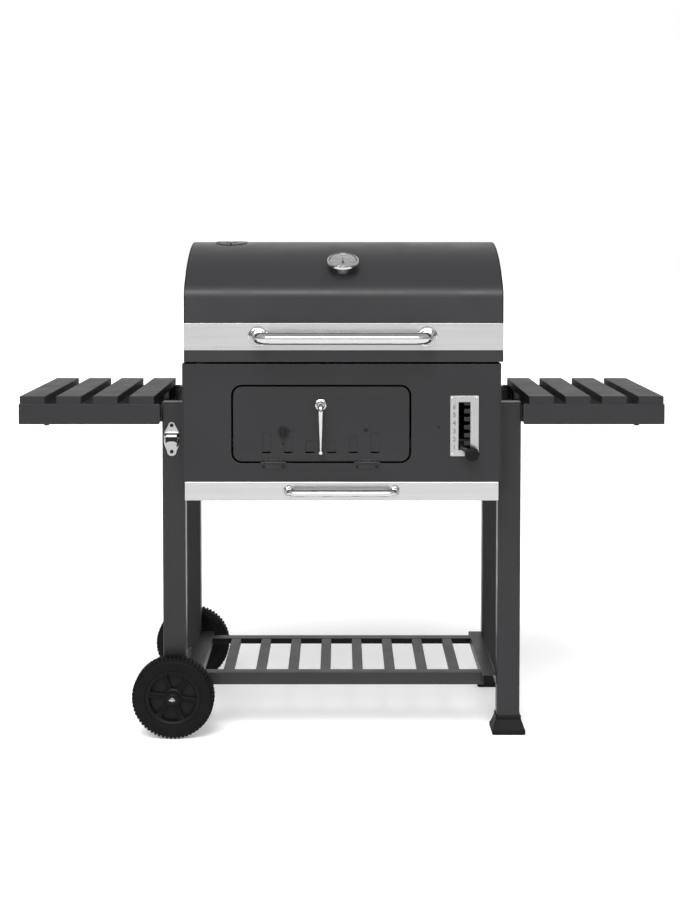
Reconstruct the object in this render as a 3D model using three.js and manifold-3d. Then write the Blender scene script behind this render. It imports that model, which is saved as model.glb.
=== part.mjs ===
// A charcoal trolley grill: a sheet-steel firebox with an arched lid, on a four-legged cart with two
// wheels, two fold-down slatted side shelves and a slatted bottom rack.
// Millimetres. +X is the user's right, +Y runs to the back, +Z is up. The origin is on the floor,
// under the middle of the whole grill's box. Left and right are as seen from the front.

import * as THREE from 'three';
import { mergeVertices } from 'three/addons/utils/BufferGeometryUtils.js';
import Module from 'manifold-3d';

// ---------------------------------------------------------------- driving dimensions

const gap = 0.3;                  // left between pieces that touch
const sheet = 1.5;                // thickness of the folded sheet steel

// Firebox and lid share one front plane, one back plane and one width.
const bodyFront = -211;
const bodyBack = 269;
const bodyMiddle = (bodyFront + bodyBack) / 2;
const panelHalf = 364;            // half width of the front and back panels
const bodyHalf = 367;             // half width over the side panels and the lid's ends
const bodyBottom = 608;
const bodyTop = 881;
const lidBottom = 885;
const lidCrest = 1159.5;
const lidRadius = 315;            // the arch over the top
const lidBend = 44;               // the rounded bends where the arch meets the upright walls
const lidMiddleX = 4.5;           // the lid sits a little to the right of the firebox
const archCentreZ = lidCrest - lidRadius;

// Cart: the four legs stand on a rectangle that is centred front to back on cartMiddle.
const cartMiddle = 24.5;
const legReach = 180.5;           // from cartMiddle to a leg's outer face
const legWidth = 53.7;
const legDepth = 35;
const legWall = 1.5;
const legInner = bodyHalf + gap;
const legX = legInner + legWidth / 2;
const legTop = 785;
const leftLegBottom = 70;
const rightLegBottom = 8;

const wheelRadius = 96;
const wheelWidth = 40;
const wheelReach = 205.5;         // from cartMiddle to the middle of a wheel
const wheelSides = 40;
const axleRadius = 6;

// Side shelves: four slats on a folded frame that hangs on a rod beside the legs.
const shelfReach = 199.5;         // from cartMiddle to the slats' ends
const slatWidth = 59;
const slatPitch = 85;
const firstSlat = 436;            // inner edge of the slat beside the leg
const slatTop = 801.5;
const slatBottom = 783.3;
const shelfBottom = 735.5;
const shelfInner = 423.4;
const shelfOuter = 752.5;
const shelfPivotX = 440;
const shelfPivotZ = 745;
const shelfRodRadius = 4;

// Charcoal door, flush in the front panel, hinged along its lower edge.
const doorMiddleX = -47;
const doorMiddleZ = 741.4;
const doorHoleWidth = 414.6;
const doorHoleHeight = 181.6;
const doorHoleCorner = 24.8;
const doorGap = 4.3;
const doorDepth = 12;
const doorBottom = doorMiddleZ - doorHoleHeight / 2 + doorGap;
const doorPivotY = bodyFront - 2.9;
const doorPivotZ = doorBottom - 2;
const airSlotPitch = 50;
const airSlotWidth = 21;
const airSlotBottom = 674;
const damperTravel = 25;
const damperKnobX = -134;
const damperKnobZ = 724;
const latchX = -48;
const latchZ = 786;

// Grate lift: a rod in an upright channel with six notches beside it.
const notchCount = 6;
const notchPitch = 18.6;
const lowestNotch = 687.6;
const channelX = 276;
const channelWidth = 12;
const notchReach = 296.2;         // how far right the notches go
const scaleLeft = 250;
const scaleRight = 315.3;
const scaleBottom = 667.3;
const scaleTop = 806.7;

const coalGrateZ = 697;
const cookGrateZ = 852.3;

// Ash drawer under the firebox.
const drawerHalf = 361.5;
const drawerBottom = 564;
const drawerTop = 607.6;
const drawerTrayHalf = 347;

// Stainless band and chrome bow handles.
const bandBottom = 912;
const bandTop = 974;
const bandProud = 1.3;
const lidHandleX = 2.5;
const lidHandleHalf = 194;        // half the distance between the two feet
const lidHandleZ = 942.5;
const lidHandleBar = 13.5;
const lidHandleStand = 54.4;
const drawerHandleHalf = 122;
const drawerHandleZ = 587;
const drawerHandleBar = 7.5;
const drawerHandleStand = 31;

// Lid hinges, thermometer and lid vent.
const lidPivotY = bodyBack + 6.5;
const lidPivotZ = bodyTop + 2;
const hingeX = 245;
const thermometerX = 3;
const thermometerTilt = 36.2 * Math.PI / 180;
const thermometerLean = 27.5 * Math.PI / 180;
const ventX = -269;
const ventTilt = 5.7 * Math.PI / 180;
const ventTravel = 10;
const ventRadius = 39;

// ---------------------------------------------------------------- solid geometry helpers

const wasm = await Module();
wasm.setup();

function toSolid(geometry) {
  const bare = geometry.clone();
  bare.deleteAttribute('normal');
  bare.deleteAttribute('uv');
  const merged = mergeVertices(bare, 1e-4);
  const corners = merged.index.array;
  const triangles = [];
  for (let i = 0; i < corners.length; i += 3) {
    const [a, b, c] = [corners[i], corners[i + 1], corners[i + 2]];
    if (a !== b && b !== c && c !== a) triangles.push(a, b, c);
  }
  return new wasm.Manifold(new wasm.Mesh({
    numProp: 3,
    vertProperties: Float32Array.from(merged.attributes.position.array),
    triVerts: Uint32Array.from(triangles),
  }));
}

function toGeometry(solid) {
  const mesh = solid.getMesh();
  const geometry = new THREE.BufferGeometry();
  geometry.setAttribute('position', new THREE.BufferAttribute(Float32Array.from(mesh.vertProperties), 3));
  geometry.setIndex(Array.from(mesh.triVerts));
  geometry.computeVertexNormals();
  return geometry;
}

function join(first, ...others) {
  return toGeometry(others.reduce((sum, other) => sum.add(toSolid(other)), toSolid(first)));
}

function cut(first, ...tools) {
  return toGeometry(tools.reduce((rest, tool) => rest.subtract(toSolid(tool)), toSolid(first)));
}

function block(x0, x1, y0, y1, z0, z1) {
  const geometry = new THREE.BoxGeometry(x1 - x0, y1 - y0, z1 - z0);
  return geometry.translate((x0 + x1) / 2, (y0 + y1) / 2, (z0 + z1) / 2);
}

function rodX(x0, x1, y, z, radius, facets = 16) {
  const geometry = new THREE.CylinderGeometry(radius, radius, x1 - x0, facets);
  return geometry.rotateZ(-Math.PI / 2).translate((x0 + x1) / 2, y, z);
}

function rodY(y0, y1, x, z, radius, facets = 16) {
  const geometry = new THREE.CylinderGeometry(radius, radius, y1 - y0, facets);
  return geometry.translate(x, (y0 + y1) / 2, z);
}

function rodZ(z0, z1, x, y, radius, facets = 16) {
  const geometry = new THREE.CylinderGeometry(radius, radius, z1 - z0, facets);
  return geometry.rotateX(Math.PI / 2).translate(x, y, (z0 + z1) / 2);
}

function roundedRect(left, bottom, right, top, radius) {
  const shape = new THREE.Shape();
  shape.moveTo(left + radius, bottom);
  shape.lineTo(right - radius, bottom);
  shape.absarc(right - radius, bottom + radius, radius, -Math.PI / 2, 0);
  shape.lineTo(right, top - radius);
  shape.absarc(right - radius, top - radius, radius, 0, Math.PI / 2);
  shape.lineTo(left + radius, top);
  shape.absarc(left + radius, top - radius, radius, Math.PI / 2, Math.PI);
  shape.lineTo(left, bottom + radius);
  shape.absarc(left + radius, bottom + radius, radius, Math.PI, 1.5 * Math.PI);
  return shape;
}

function polygon(points) {
  return new THREE.Shape(points.map(([a, b]) => new THREE.Vector2(a, b)));
}

function extrudeZ(shape, z0, z1, curveSegments = 2) {
  const geometry = new THREE.ExtrudeGeometry(shape, { depth: z1 - z0, bevelEnabled: false, curveSegments });
  return geometry.translate(0, 0, z0);
}

// The shape is drawn in X and Z.
function extrudeY(shape, y0, y1, curveSegments = 2) {
  const geometry = new THREE.ExtrudeGeometry(shape, { depth: y1 - y0, bevelEnabled: false, curveSegments });
  return geometry.rotateX(Math.PI / 2).translate(0, y1, 0);
}

// The shape is drawn in Y and Z.
function extrudeX(shape, x0, x1, curveSegments = 2) {
  const geometry = new THREE.ExtrudeGeometry(shape, { depth: x1 - x0, bevelEnabled: false, curveSegments });
  const turn = new THREE.Matrix4().makeBasis(
    new THREE.Vector3(0, 1, 0), new THREE.Vector3(0, 0, 1), new THREE.Vector3(1, 0, 0));
  return geometry.applyMatrix4(turn).translate(x0, 0, 0);
}

// A profile of [radius, height] pairs turned about +Z.
function turned(profile, facets = 20) {
  const points = profile.map(([radius, height]) => new THREE.Vector2(radius, height));
  return new THREE.LatheGeometry(points, facets).rotateX(Math.PI / 2);
}

function mirrored(geometry) {
  const copy = (geometry.index ? geometry.toNonIndexed() : geometry.clone()).scale(-1, 1, 1);
  const flipped = mergeVertices(new THREE.BufferGeometry().setAttribute('position', copy.attributes.position));
  const corners = Array.from(flipped.index.array);
  for (let i = 0; i < corners.length; i += 3) {
    [corners[i + 1], corners[i + 2]] = [corners[i + 2], corners[i + 1]];
  }
  flipped.setIndex(corners);
  flipped.computeVertexNormals();
  return flipped;
}

// Joins rings of points, each a convex outline with the same number of points, into one solid.
function loft(rings) {
  const count = rings[0].length;
  const corners = [];
  for (let ring = 0; ring + 1 < rings.length; ring++) {
    for (let i = 0; i < count; i++) {
      const a = ring * count + i;
      const b = ring * count + (i + 1) % count;
      corners.push(a, b, b + count, a, b + count, a + count);
    }
  }
  const last = (rings.length - 1) * count;
  for (let i = 1; i + 1 < count; i++) {
    corners.push(0, i + 1, i, last, last + i, last + i + 1);
  }
  const geometry = new THREE.BufferGeometry().setFromPoints(rings.flat());
  geometry.setIndex(corners);
  geometry.computeVertexNormals();
  return geometry;
}

// A level ring for loft: a rectangle with rounded corners, centred on x and y.
function levelRing(x, y, z, width, depth, radius) {
  const ring = [];
  const stepsPerCorner = 3;
  for (let corner = 0; corner < 4; corner++) {
    const centreX = x + (corner === 0 || corner === 3 ? 1 : -1) * (width / 2 - radius);
    const centreY = y + (corner < 2 ? 1 : -1) * (depth / 2 - radius);
    for (let step = 0; step <= stepsPerCorner; step++) {
      const angle = (corner + step / stepsPerCorner) * Math.PI / 2;
      ring.push(new THREE.Vector3(centreX + radius * Math.cos(angle), centreY + radius * Math.sin(angle), z));
    }
  }
  return ring;
}

// A round bar bent into a flat bow: out from one foot, across, and back to the other foot.
function bowHandle(middleX, half, z, baseY, stand, bar, footRadius) {
  const bend = stand * 0.62;
  const path = new THREE.CurvePath();
  const corner = (x, y) => new THREE.Vector3(x, y, z);
  const barY = baseY - stand;
  const [left, right] = [middleX - half, middleX + half];
  path.add(new THREE.LineCurve3(corner(left, baseY - 2), corner(left, barY + bend)));
  path.add(new THREE.QuadraticBezierCurve3(
    corner(left, barY + bend), corner(left, barY), corner(left + bend, barY)));
  path.add(new THREE.LineCurve3(corner(left + bend, barY), corner(right - bend, barY)));
  path.add(new THREE.QuadraticBezierCurve3(
    corner(right - bend, barY), corner(right, barY), corner(right, barY + bend)));
  path.add(new THREE.LineCurve3(corner(right, barY + bend), corner(right, baseY - 2)));
  const section = new THREE.Shape();
  section.absarc(0, 0, bar, 0, 2 * Math.PI);
  const bow = new THREE.ExtrudeGeometry(section, {
    steps: 34, curveSegments: 4, bevelEnabled: false, extrudePath: path,
  });
  const foot = [[0, 0], [footRadius, 0], [footRadius, 3], [footRadius * 0.8, 6], [0, 6]];
  const feet = [left, right].map((x) => (
    turned(foot, 16).rotateX(Math.PI / 2).translate(x, baseY, z)));
  return join(bow, ...feet);
}

// ---------------------------------------------------------------- materials

function finish(color, roughness, metalness) {
  return { color, roughness, metalness };
}

const charcoalPaint = finish(0x47474a, 0.45, 0.3);
const slatPaint = finish(0x5c5c60, 0.5, 0.3);
const stainless = finish(0xcfcfce, 0.32, 1);
const chrome = finish(0xe6e6e6, 0.08, 1);
const blackPlastic = finish(0x262626, 0.55, 0);
const castIron = finish(0x1e1e1f, 0.7, 0.4);
const galvanised = finish(0x8b8d8f, 0.45, 0.9);
const darkSteel = finish(0x303033, 0.5, 0.6);
const clearGlass = finish(0xe8f0f0, 0.05, 0);
const needlePaint = finish(0x202022, 0.5, 0);

function addPiece(group, name, geometry, look) {
  const mesh = new THREE.Mesh(geometry, new THREE.MeshStandardMaterial(look));
  mesh.name = name;
  group.add(mesh);
  return mesh;
}

const sides = [['left', -1], ['right', 1]];

// ---------------------------------------------------------------- cart

function leg(side, end) {
  const bottom = side < 0 ? leftLegBottom : rightLegBottom;
  const x = side * legX;
  const y = cartMiddle + end * (legReach - legDepth / 2);
  const outer = roundedRect(x - legWidth / 2, y - legDepth / 2, x + legWidth / 2, y + legDepth / 2, 4);
  const inner = roundedRect(
    x - legWidth / 2 + legWall, y - legDepth / 2 + legWall,
    x + legWidth / 2 - legWall, y + legDepth / 2 - legWall, 2.5);
  const tube = [extrudeZ(outer, bottom, legTop, 3), extrudeZ(inner, bottom - 1, legTop - legWall, 3)];
  if (side < 0) tube.push(rodY(y - legDepth, y + legDepth, x, wheelRadius, axleRadius + 0.6));
  return cut(...tube);
}

function foot(end) {
  const x = legX;
  const y = cartMiddle + end * (legReach - legDepth / 2);
  const shell = loft([
    levelRing(x, y, 0, 78.5, 68, 4),
    levelRing(x, y, 9, 78.5, 68, 4),
    levelRing(x, y, 32, legWidth + 7, legDepth + 7, 4),
    levelRing(x, y, 41, legWidth + 6, legDepth + 6, 4),
  ]);
  const socket = block(
    x - legWidth / 2 - gap, x + legWidth / 2 + gap,
    y - legDepth / 2 - gap, y + legDepth / 2 + gap, rightLegBottom - gap, 60);
  return cut(shell, socket);
}

// A box open underneath, like a folded sheet channel.
function channel(x0, x1, y0, y1, z0, z1) {
  return cut(
    block(x0, x1, y0, y1, z0, z1),
    block(x0 + 2, x1 - 2, y0 + 2, y1 - 2, z0 - 1, z1 - 2));
}

function bottomRack() {
  const top = 136;
  const inner = bodyHalf - 0.2;
  const barWidth = 33;
  const endBars = [-1, 1].map((side) => {
    const [x0, x1] = [side * inner, side * (inner - barWidth)].sort((a, b) => a - b);
    return channel(x0, x1, -150.5, 191.5, top - 23, top);
  });
  const railHalf = inner - barWidth + 1;
  const frontRail = channel(-railHalf, railHalf, -128.5, -105.5, top - 30, top - 0.2);
  // The rear rail is folded the other way: it is open to the front as well as underneath.
  const rearRail = cut(
    block(-railHalf, railHalf, 132.8, 159.5, top - 22.5, top - 0.3),
    block(2 - railHalf, railHalf - 2, 131.8, 157.5, top - 23.5, top - 2.3));
  const slats = [];
  for (let index = 0; index < 8; index++) {
    const x = (index - 3.5) * 77.5;
    slats.push(block(x - 12.5, x + 12.5, -106.5, 136, top - 7, top - 1));
  }
  return join(...endBars, frontRail, rearRail, ...slats);
}

// The spokes stand on both sides of a thin web that closes the wheel.
function wheel() {
  const half = wheelWidth / 2;
  const profile = [
    [axleRadius + 0.4, -half - 1], [17, -half - 1], [20, -8], [58, -8], [62, -half + 4],
    [88, -half], [wheelRadius, -half + 7],
    [wheelRadius, half - 7], [88, half],
    [62, half - 4], [58, 8], [20, 8], [17, half + 1], [axleRadius + 0.4, half + 1],
  ];
  profile.push(profile[0]);
  const points = profile.map(([radius, height]) => new THREE.Vector2(radius, height));
  const disc = new THREE.LatheGeometry(points, wheelSides);
  const windows = [];
  for (let index = 0; index < 6; index++) {
    for (const [y0, y1] of [[-12, -1.5], [1.5, 12]]) {
      const window = extrudeY(polygon([[24, -6.5], [53, -19], [53, 19], [24, 6.5]]), y0, y1);
      windows.push(window.rotateY(-(38 + 60 * index) * Math.PI / 180));
    }
  }
  return cut(disc, ...windows);
}

function addCart(cart) {
  for (const [sideName, side] of sides) {
    addPiece(cart, `leg_front_${sideName}`, leg(side, -1), charcoalPaint);
    addPiece(cart, `leg_rear_${sideName}`, leg(side, 1), charcoalPaint);
  }
  addPiece(cart, 'foot_front_right', foot(-1), blackPlastic);
  addPiece(cart, 'foot_rear_right', foot(1), blackPlastic);
  addPiece(cart, 'bottom_rack', bottomRack(), charcoalPaint);

  const axleEnd = wheelReach + wheelWidth / 2 + 1 + gap;
  const axle = join(
    rodY(cartMiddle - axleEnd - 1, cartMiddle + axleEnd + 1, -legX, wheelRadius, axleRadius),
    rodY(cartMiddle - axleEnd - 4, cartMiddle - axleEnd, -legX, wheelRadius, 11),
    rodY(cartMiddle + axleEnd, cartMiddle + axleEnd + 4, -legX, wheelRadius, 11));
  addPiece(cart, 'wheel_axle', axle, galvanised);
  for (const [endName, end] of [['front', -1], ['rear', 1]]) {
    const mesh = addPiece(cart, `wheel_${endName}`, wheel(), blackPlastic);
    mesh.position.set(-legX, cartMiddle + end * wheelReach, wheelRadius);
  }

  const openerY = cartMiddle - legReach - gap;
  const outline = new THREE.Shape();
  outline.absarc(0, 731, 7.5, 0, Math.PI);
  outline.lineTo(-18.5, 704);
  outline.lineTo(-18.5, 694);
  outline.absarc(0, 669.5, 11, Math.PI, 2 * Math.PI);
  outline.lineTo(18.5, 694);
  outline.lineTo(18.5, 704);
  const opener = cut(
    join(extrudeY(outline, openerY - 2, openerY, 6), block(-18.5, 18.5, openerY - 13, openerY - 1, 695, 713)),
    block(-15, 15, openerY - 11, openerY - 2, 690, 710),
    block(-11, 11, openerY - 20, openerY - 9, 690, 704));
  const openerMesh = addPiece(cart, 'bottle_opener', opener, stainless);
  openerMesh.position.x = -legX - 4;
}

// ---------------------------------------------------------------- side shelves

function shelfBracket() {
  const rod = rodY(
    cartMiddle - shelfReach + 2.8, cartMiddle + shelfReach - 2.8, shelfPivotX, shelfPivotZ, shelfRodRadius);
  const ears = [-1, 1].map((end) => {
    const y = cartMiddle + end * (legReach - legDepth / 2);
    const outer = legInner + legWidth + gap;
    return join(
      block(outer, outer + 2, y - 15, y + 15, shelfPivotZ - 6, shelfPivotZ + 30),
      block(outer, shelfPivotX + 2, y - 15, y + 15, shelfPivotZ - 6, shelfPivotZ + 4));
  });
  return join(rod, ...ears);
}

function shelfFrame() {
  const front = cartMiddle - shelfReach + 1;
  const rear = cartMiddle + shelfReach - 1;
  const top = slatBottom - gap;
  const beams = [[front, 1], [rear, -1]].map(([face, inward]) => {
    const section = [
      [face, shelfBottom], [face + inward * 11, shelfBottom],
      [face + inward * 11, shelfBottom + sheet], [face + inward * sheet, shelfBottom + sheet],
      [face + inward * sheet, top - sheet], [face + inward * 13, top - sheet],
      [face + inward * 13, top], [face, top],
    ];
    const beam = extrudeX(polygon(section), shelfInner, shelfOuter);
    const [y0, y1] = [face + inward * 1, face + inward * 12].sort((a, b) => a - b);
    return join(beam, rodY(y0, y1, shelfPivotX, shelfPivotZ, 7.5));
  });
  const cross = [[449, 449 + sheet], [shelfOuter - sheet, shelfOuter]].map(([x0, x1]) => (
    block(x0, x1, front + 1, rear - 1, shelfBottom + 0.5, top - 0.5)));
  const bores = [[front, 1], [rear, -1]].map(([face, inward]) => {
    const [y0, y1] = [face + inward * sheet, face + inward * 14].sort((a, b) => a - b);
    return rodY(y0, y1, shelfPivotX, shelfPivotZ, shelfRodRadius + 0.4);
  });
  const chamfer = polygon([
    [shelfInner - 1, shelfBottom - 1], [shelfInner + 9, shelfBottom - 1], [shelfInner - 1, shelfBottom + 9]]);
  return cut(join(...beams, ...cross), ...bores, extrudeY(chamfer, front - 1, rear + 1));
}

function shelfSlat(x0) {
  const [y0, y1] = [cartMiddle - shelfReach, cartMiddle + shelfReach];
  return cut(
    block(x0, x0 + slatWidth, y0, y1, slatBottom, slatTop),
    block(x0 + sheet, x0 + slatWidth - sheet, y0 + sheet, y1 - sheet, slatBottom - 1, slatTop - sheet));
}

function addShelf(parent, sideName, side) {
  const place = (geometry) => (side < 0 ? mirrored(geometry) : geometry);
  addPiece(parent, `shelf_bracket_${sideName}`, place(shelfBracket()), darkSteel);
  addPiece(parent, `shelf_frame_${sideName}`, place(shelfFrame()), charcoalPaint);
  for (let index = 0; index < 4; index++) {
    const slat = shelfSlat(firstSlat + index * slatPitch);
    addPiece(parent, `shelf_slat_${sideName}_${index + 1}`, place(slat), slatPaint);
  }
}

// ---------------------------------------------------------------- firebox

const grateLedge = 18;
const backSkirt = 576;             // the back panel runs down behind the ash drawer

function frontPanel() {
  const [left, right] = [doorMiddleX - doorHoleWidth / 2, doorMiddleX + doorHoleWidth / 2];
  const [low, high] = [doorMiddleZ - doorHoleHeight / 2, doorMiddleZ + doorHoleHeight / 2];
  const outline = roundedRect(-panelHalf, bodyBottom, panelHalf, bodyTop - 1, 2);
  outline.holes.push(roundedRect(left, low, right, high, doorHoleCorner));
  const channel = block(
    channelX - channelWidth / 2, channelX + channelWidth / 2, bodyFront - 1, bodyFront + 3,
    lowestNotch - 6, lowestNotch + (notchCount - 1) * notchPitch + 10);
  const notches = [];
  for (let index = 0; index < notchCount; index++) {
    const z = lowestNotch + index * notchPitch;
    notches.push(block(channelX, notchReach, bodyFront - 1, bodyFront + 3, z - 4.5, z + 4.5));
  }
  const returns = [-1, 1].map((side) => {
    const [x0, x1] = [side * panelHalf, side * (panelHalf - sheet)].sort((a, b) => a - b);
    return block(x0, x1, bodyFront + 1, bodyFront + 16, bodyBottom + 2, bodyTop - 3);
  });
  const ledge = block(
    -panelHalf + 4, panelHalf - 4, bodyFront + 1, bodyFront + grateLedge, cookGrateZ - gap - sheet,
    cookGrateZ - gap);
  return cut(join(extrudeY(outline, bodyFront, bodyFront + sheet, 3), ...returns, ledge), channel, ...notches);
}

function backPanel() {
  const outline = roundedRect(-panelHalf, backSkirt, panelHalf, bodyTop - 1, 2);
  const ledge = block(
    -panelHalf + 4, panelHalf - 4, bodyBack - grateLedge, bodyBack - 1, cookGrateZ - gap - sheet,
    cookGrateZ - gap);
  return join(extrudeY(outline, bodyBack - sheet, bodyBack), ledge);
}

// A flat grate with two rows of slots between its bars.
function slottedGrate(x0, x1, y0, y1, z0, z1, pitch, bar) {
  const rim = 12;
  const count = Math.floor((x1 - x0 - 2 * rim + bar) / pitch);
  const start = (x0 + x1) / 2 - (count * pitch - bar) / 2;
  const middle = (y0 + y1) / 2;
  const slots = [];
  for (let index = 0; index < count; index++) {
    const left = start + index * pitch;
    for (const [low, high] of [[y0 + rim, middle - 5], [middle + 5, y1 - rim]]) {
      slots.push(block(left, left + pitch - bar, low, high, z0 - 1, z1 + 1));
    }
  }
  return cut(block(x0, x1, y0, y1, z0, z1), ...slots);
}

function doorHinge(x) {
  const half = 29;
  const knuckle = 8;
  const plate = block(x - half, x + half, bodyFront - 1.9, bodyFront - gap, 638, doorPivotZ - 2.9);
  const ends = [-1, 1].map((side) => {
    const [x0, x1] = [x + side * half, x + side * (half - knuckle)].sort((a, b) => a - b);
    return join(
      rodX(x0, x1, doorPivotY, doorPivotZ, 2.6, 12),
      block(x0, x1, doorPivotY, bodyFront - gap, doorPivotZ - 4, doorPivotZ - 1));
  });
  return join(plate, ...ends, rodX(x - half + 1, x + half - 1, doorPivotY, doorPivotZ, 1.2, 8));
}

function addFirebox(parent) {
  addPiece(parent, 'firebox_front', frontPanel(), charcoalPaint);
  addPiece(parent, 'firebox_back', backPanel(), charcoalPaint);
  for (const [sideName, side] of sides) {
    const [x0, x1] = [side * (panelHalf + gap), side * (bodyHalf - 0.1)].sort((a, b) => a - b);
    const wall = extrudeX(roundedRect(bodyFront + 1, bodyBottom, bodyBack - 1, bodyTop, 2), x0, x1, 1);
    addPiece(parent, `firebox_side_${sideName}`, wall, charcoalPaint);

    const [grate0, grate1] = [side * 2, side * 358].sort((a, b) => a - b);
    const grate = slottedGrate(
      grate0, grate1, bodyFront + 10, bodyBack - 10, cookGrateZ, cookGrateZ + 8, 22, 8);
    addPiece(parent, `cooking_grate_${sideName}`, grate, castIron);

    const ledge = [[350, 599.5], [panelHalf, 599.5], [panelHalf, 650], [panelHalf - 1.4, 650],
      [panelHalf - 1.4, 601], [350, 601]];
    const runner = extrudeY(polygon(ledge), bodyFront + 21, bodyBack - 14);
    addPiece(parent, `drawer_runner_${sideName}`, side < 0 ? mirrored(runner) : runner, galvanised);
  }
  const scale = roundedRect(scaleLeft, scaleBottom, scaleRight, scaleTop, 2);
  scale.holes.push(roundedRect(268.6, 681.2, notchReach, 792.6, 1));
  addPiece(parent, 'height_scale', extrudeY(scale, bodyFront - 1.1, bodyFront - gap, 1), stainless);
  addPiece(parent, 'door_hinge_left', doorHinge(-157), charcoalPaint);
  addPiece(parent, 'door_hinge_right', doorHinge(58.5), charcoalPaint);
}

// ---------------------------------------------------------------- lid

// The lid's outline in Y and Z: upright walls, a bend, the arch, a bend, and down again.
function lidPath(inset, bottom) {
  const bendY = bodyFront + lidBend;
  const bendZ = archCentreZ + Math.sqrt((lidRadius - lidBend) ** 2 - (bodyMiddle - bendY) ** 2);
  const turn = Math.atan2(bendZ - archCentreZ, bendY - bodyMiddle);
  const shape = new THREE.Shape();
  shape.moveTo(bodyBack - inset, bottom);
  shape.lineTo(bodyBack - inset, bendZ);
  shape.absarc(bodyBack - lidBend, bendZ, lidBend - inset, 0, Math.PI - turn);
  const steps = 26;
  for (let step = 1; step < steps; step++) {
    const angle = (Math.PI - turn) + (2 * turn - Math.PI) * step / steps;
    shape.lineTo(
      bodyMiddle + (lidRadius - inset) * Math.cos(angle), archCentreZ + (lidRadius - inset) * Math.sin(angle));
  }
  shape.absarc(bendY, bendZ, lidBend - inset, turn, Math.PI);
  shape.lineTo(bodyFront + inset, bottom);
  return shape;
}

// The round holes of the vent, shared by the lid, the plate behind them and the sliding cover.
// They are drawn about the vent's own middle, square to the lid's arch.
function ventHoles(shift) {
  const holes = [];
  for (const x of [-20, 0, 20]) {
    for (const y of [-12, 12]) {
      holes.push(rodZ(-20, 8, shift + x, y, 4.6, 12));
    }
  }
  return holes;
}

// Sets an object on the lid's arch: tilt is its place round the arch, lean is how far it leans forward.
function placeOnArch(object, x, tilt, lean = tilt) {
  object.position.set(x, bodyMiddle - lidRadius * Math.sin(tilt), archCentreZ + lidRadius * Math.cos(tilt));
  object.rotation.x = lean;
  return object;
}

// A round piece of sheet that follows the lid's arch, between two heights above it.
function archedDisc(radius, low, high) {
  const shell = cut(
    rodX(-50, 50, 0, -lidRadius, lidRadius + high, 180),
    rodX(-60, 60, 0, -lidRadius, lidRadius + low, 180));
  const surroundings = cut(
    block(-70, 70, -lidRadius - 20, lidRadius + 20, -2 * lidRadius - 20, 20),
    rodZ(-12, 30, 0, 0, radius, 36));
  return cut(shell, surroundings);
}

function lidSheet() {
  const half = bodyHalf - sheet - gap;
  const [left, right] = [lidMiddleX - half, lidMiddleX + half];
  const shell = cut(
    extrudeX(lidPath(0, lidBottom), left, right, 5),
    extrudeX(lidPath(sheet, lidBottom - 1), left - 1, right + 1, 5));
  const vent = placeOnArch(new THREE.Object3D(), ventX, ventTilt);
  vent.updateMatrix();
  const draught = ventHoles(0).map((hole) => hole.applyMatrix4(vent.matrix));
  const probe = new THREE.CylinderGeometry(5, 5, 30, 12).rotateX(Math.PI / 2 + thermometerLean);
  probe.translate(
    thermometerX, bodyMiddle - lidRadius * Math.sin(thermometerTilt),
    archCentreZ + lidRadius * Math.cos(thermometerTilt));
  return cut(shell, probe, ...draught);
}

function lidStrap(x) {
  const plateY = bodyBack + gap;
  const strap = join(
    block(x - 30, x + 30, plateY, plateY + 2, lidPivotZ + 6, lidPivotZ + 47),
    rodX(x - 11.7, x + 11.7, lidPivotY, lidPivotZ, 5),
    block(x - 11.7, x + 11.7, plateY, lidPivotY, lidPivotZ + 2, lidPivotZ + 8));
  return cut(strap, rodX(x - 13, x + 13, lidPivotY, lidPivotZ, 2.9));
}

function lidHingeBase(x) {
  const plateY = bodyBack + gap;
  const ends = [-1, 1].map((side) => {
    const [x0, x1] = [x + side * 12, x + side * 27].sort((a, b) => a - b);
    return join(
      rodX(x0, x1, lidPivotY, lidPivotZ, 5),
      block(x0, x1, plateY, lidPivotY, lidPivotZ - 13, lidPivotZ - 1));
  });
  return join(
    block(x - 30, x + 30, plateY, plateY + 2, lidPivotZ - 48, lidPivotZ - 7), ...ends,
    rodX(x - 25, x + 25, lidPivotY, lidPivotZ, 2.5));
}

function addThermometer(parent) {
  const dial = placeOnArch(new THREE.Group(), thermometerX, thermometerTilt, thermometerLean);
  parent.add(dial);

  const bezel = turned([
    [0, -55], [4, -55], [4, -6], [20, -6], [20, 9], [26, 12], [36.5, 15.5], [37.5, 18],
    [36.8, 21.5], [34.5, 23], [32.5, 21], [32.5, 16], [0, 16]], 28);
  const turn = thermometerTilt - thermometerLean;
  const archClearance = rodX(
    -60, 60, lidRadius * Math.sin(turn), -lidRadius * Math.cos(turn), lidRadius + gap, 180);
  const probe = turned([[0, -55], [4, -55], [4, 2], [0, 2]], 12);
  addPiece(dial, 'thermometer_case', join(cut(bezel, archClearance), probe), chrome);
  const glass = turned([[0, 20.5], [31, 20.5], [32.1, 21.2], [31, 22.6], [24, 25], [14, 26.6], [0, 27.2]], 24);
  const hollow = turned([[0, 20], [30, 20], [23, 23.6], [13, 25.1], [0, 25.7]], 24);
  addPiece(dial, 'thermometer_glass', cut(glass, hollow), clearGlass);
  const pointer = polygon([[-1.6, -9], [1.6, -9], [0.6, 24], [-0.6, 24]]);
  const needle = join(extrudeZ(pointer, 17.2, 18), rodZ(16.6, 19, 0, 0, 2.6, 12));
  addPiece(dial, 'thermometer_needle', needle, needlePaint);
}

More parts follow.
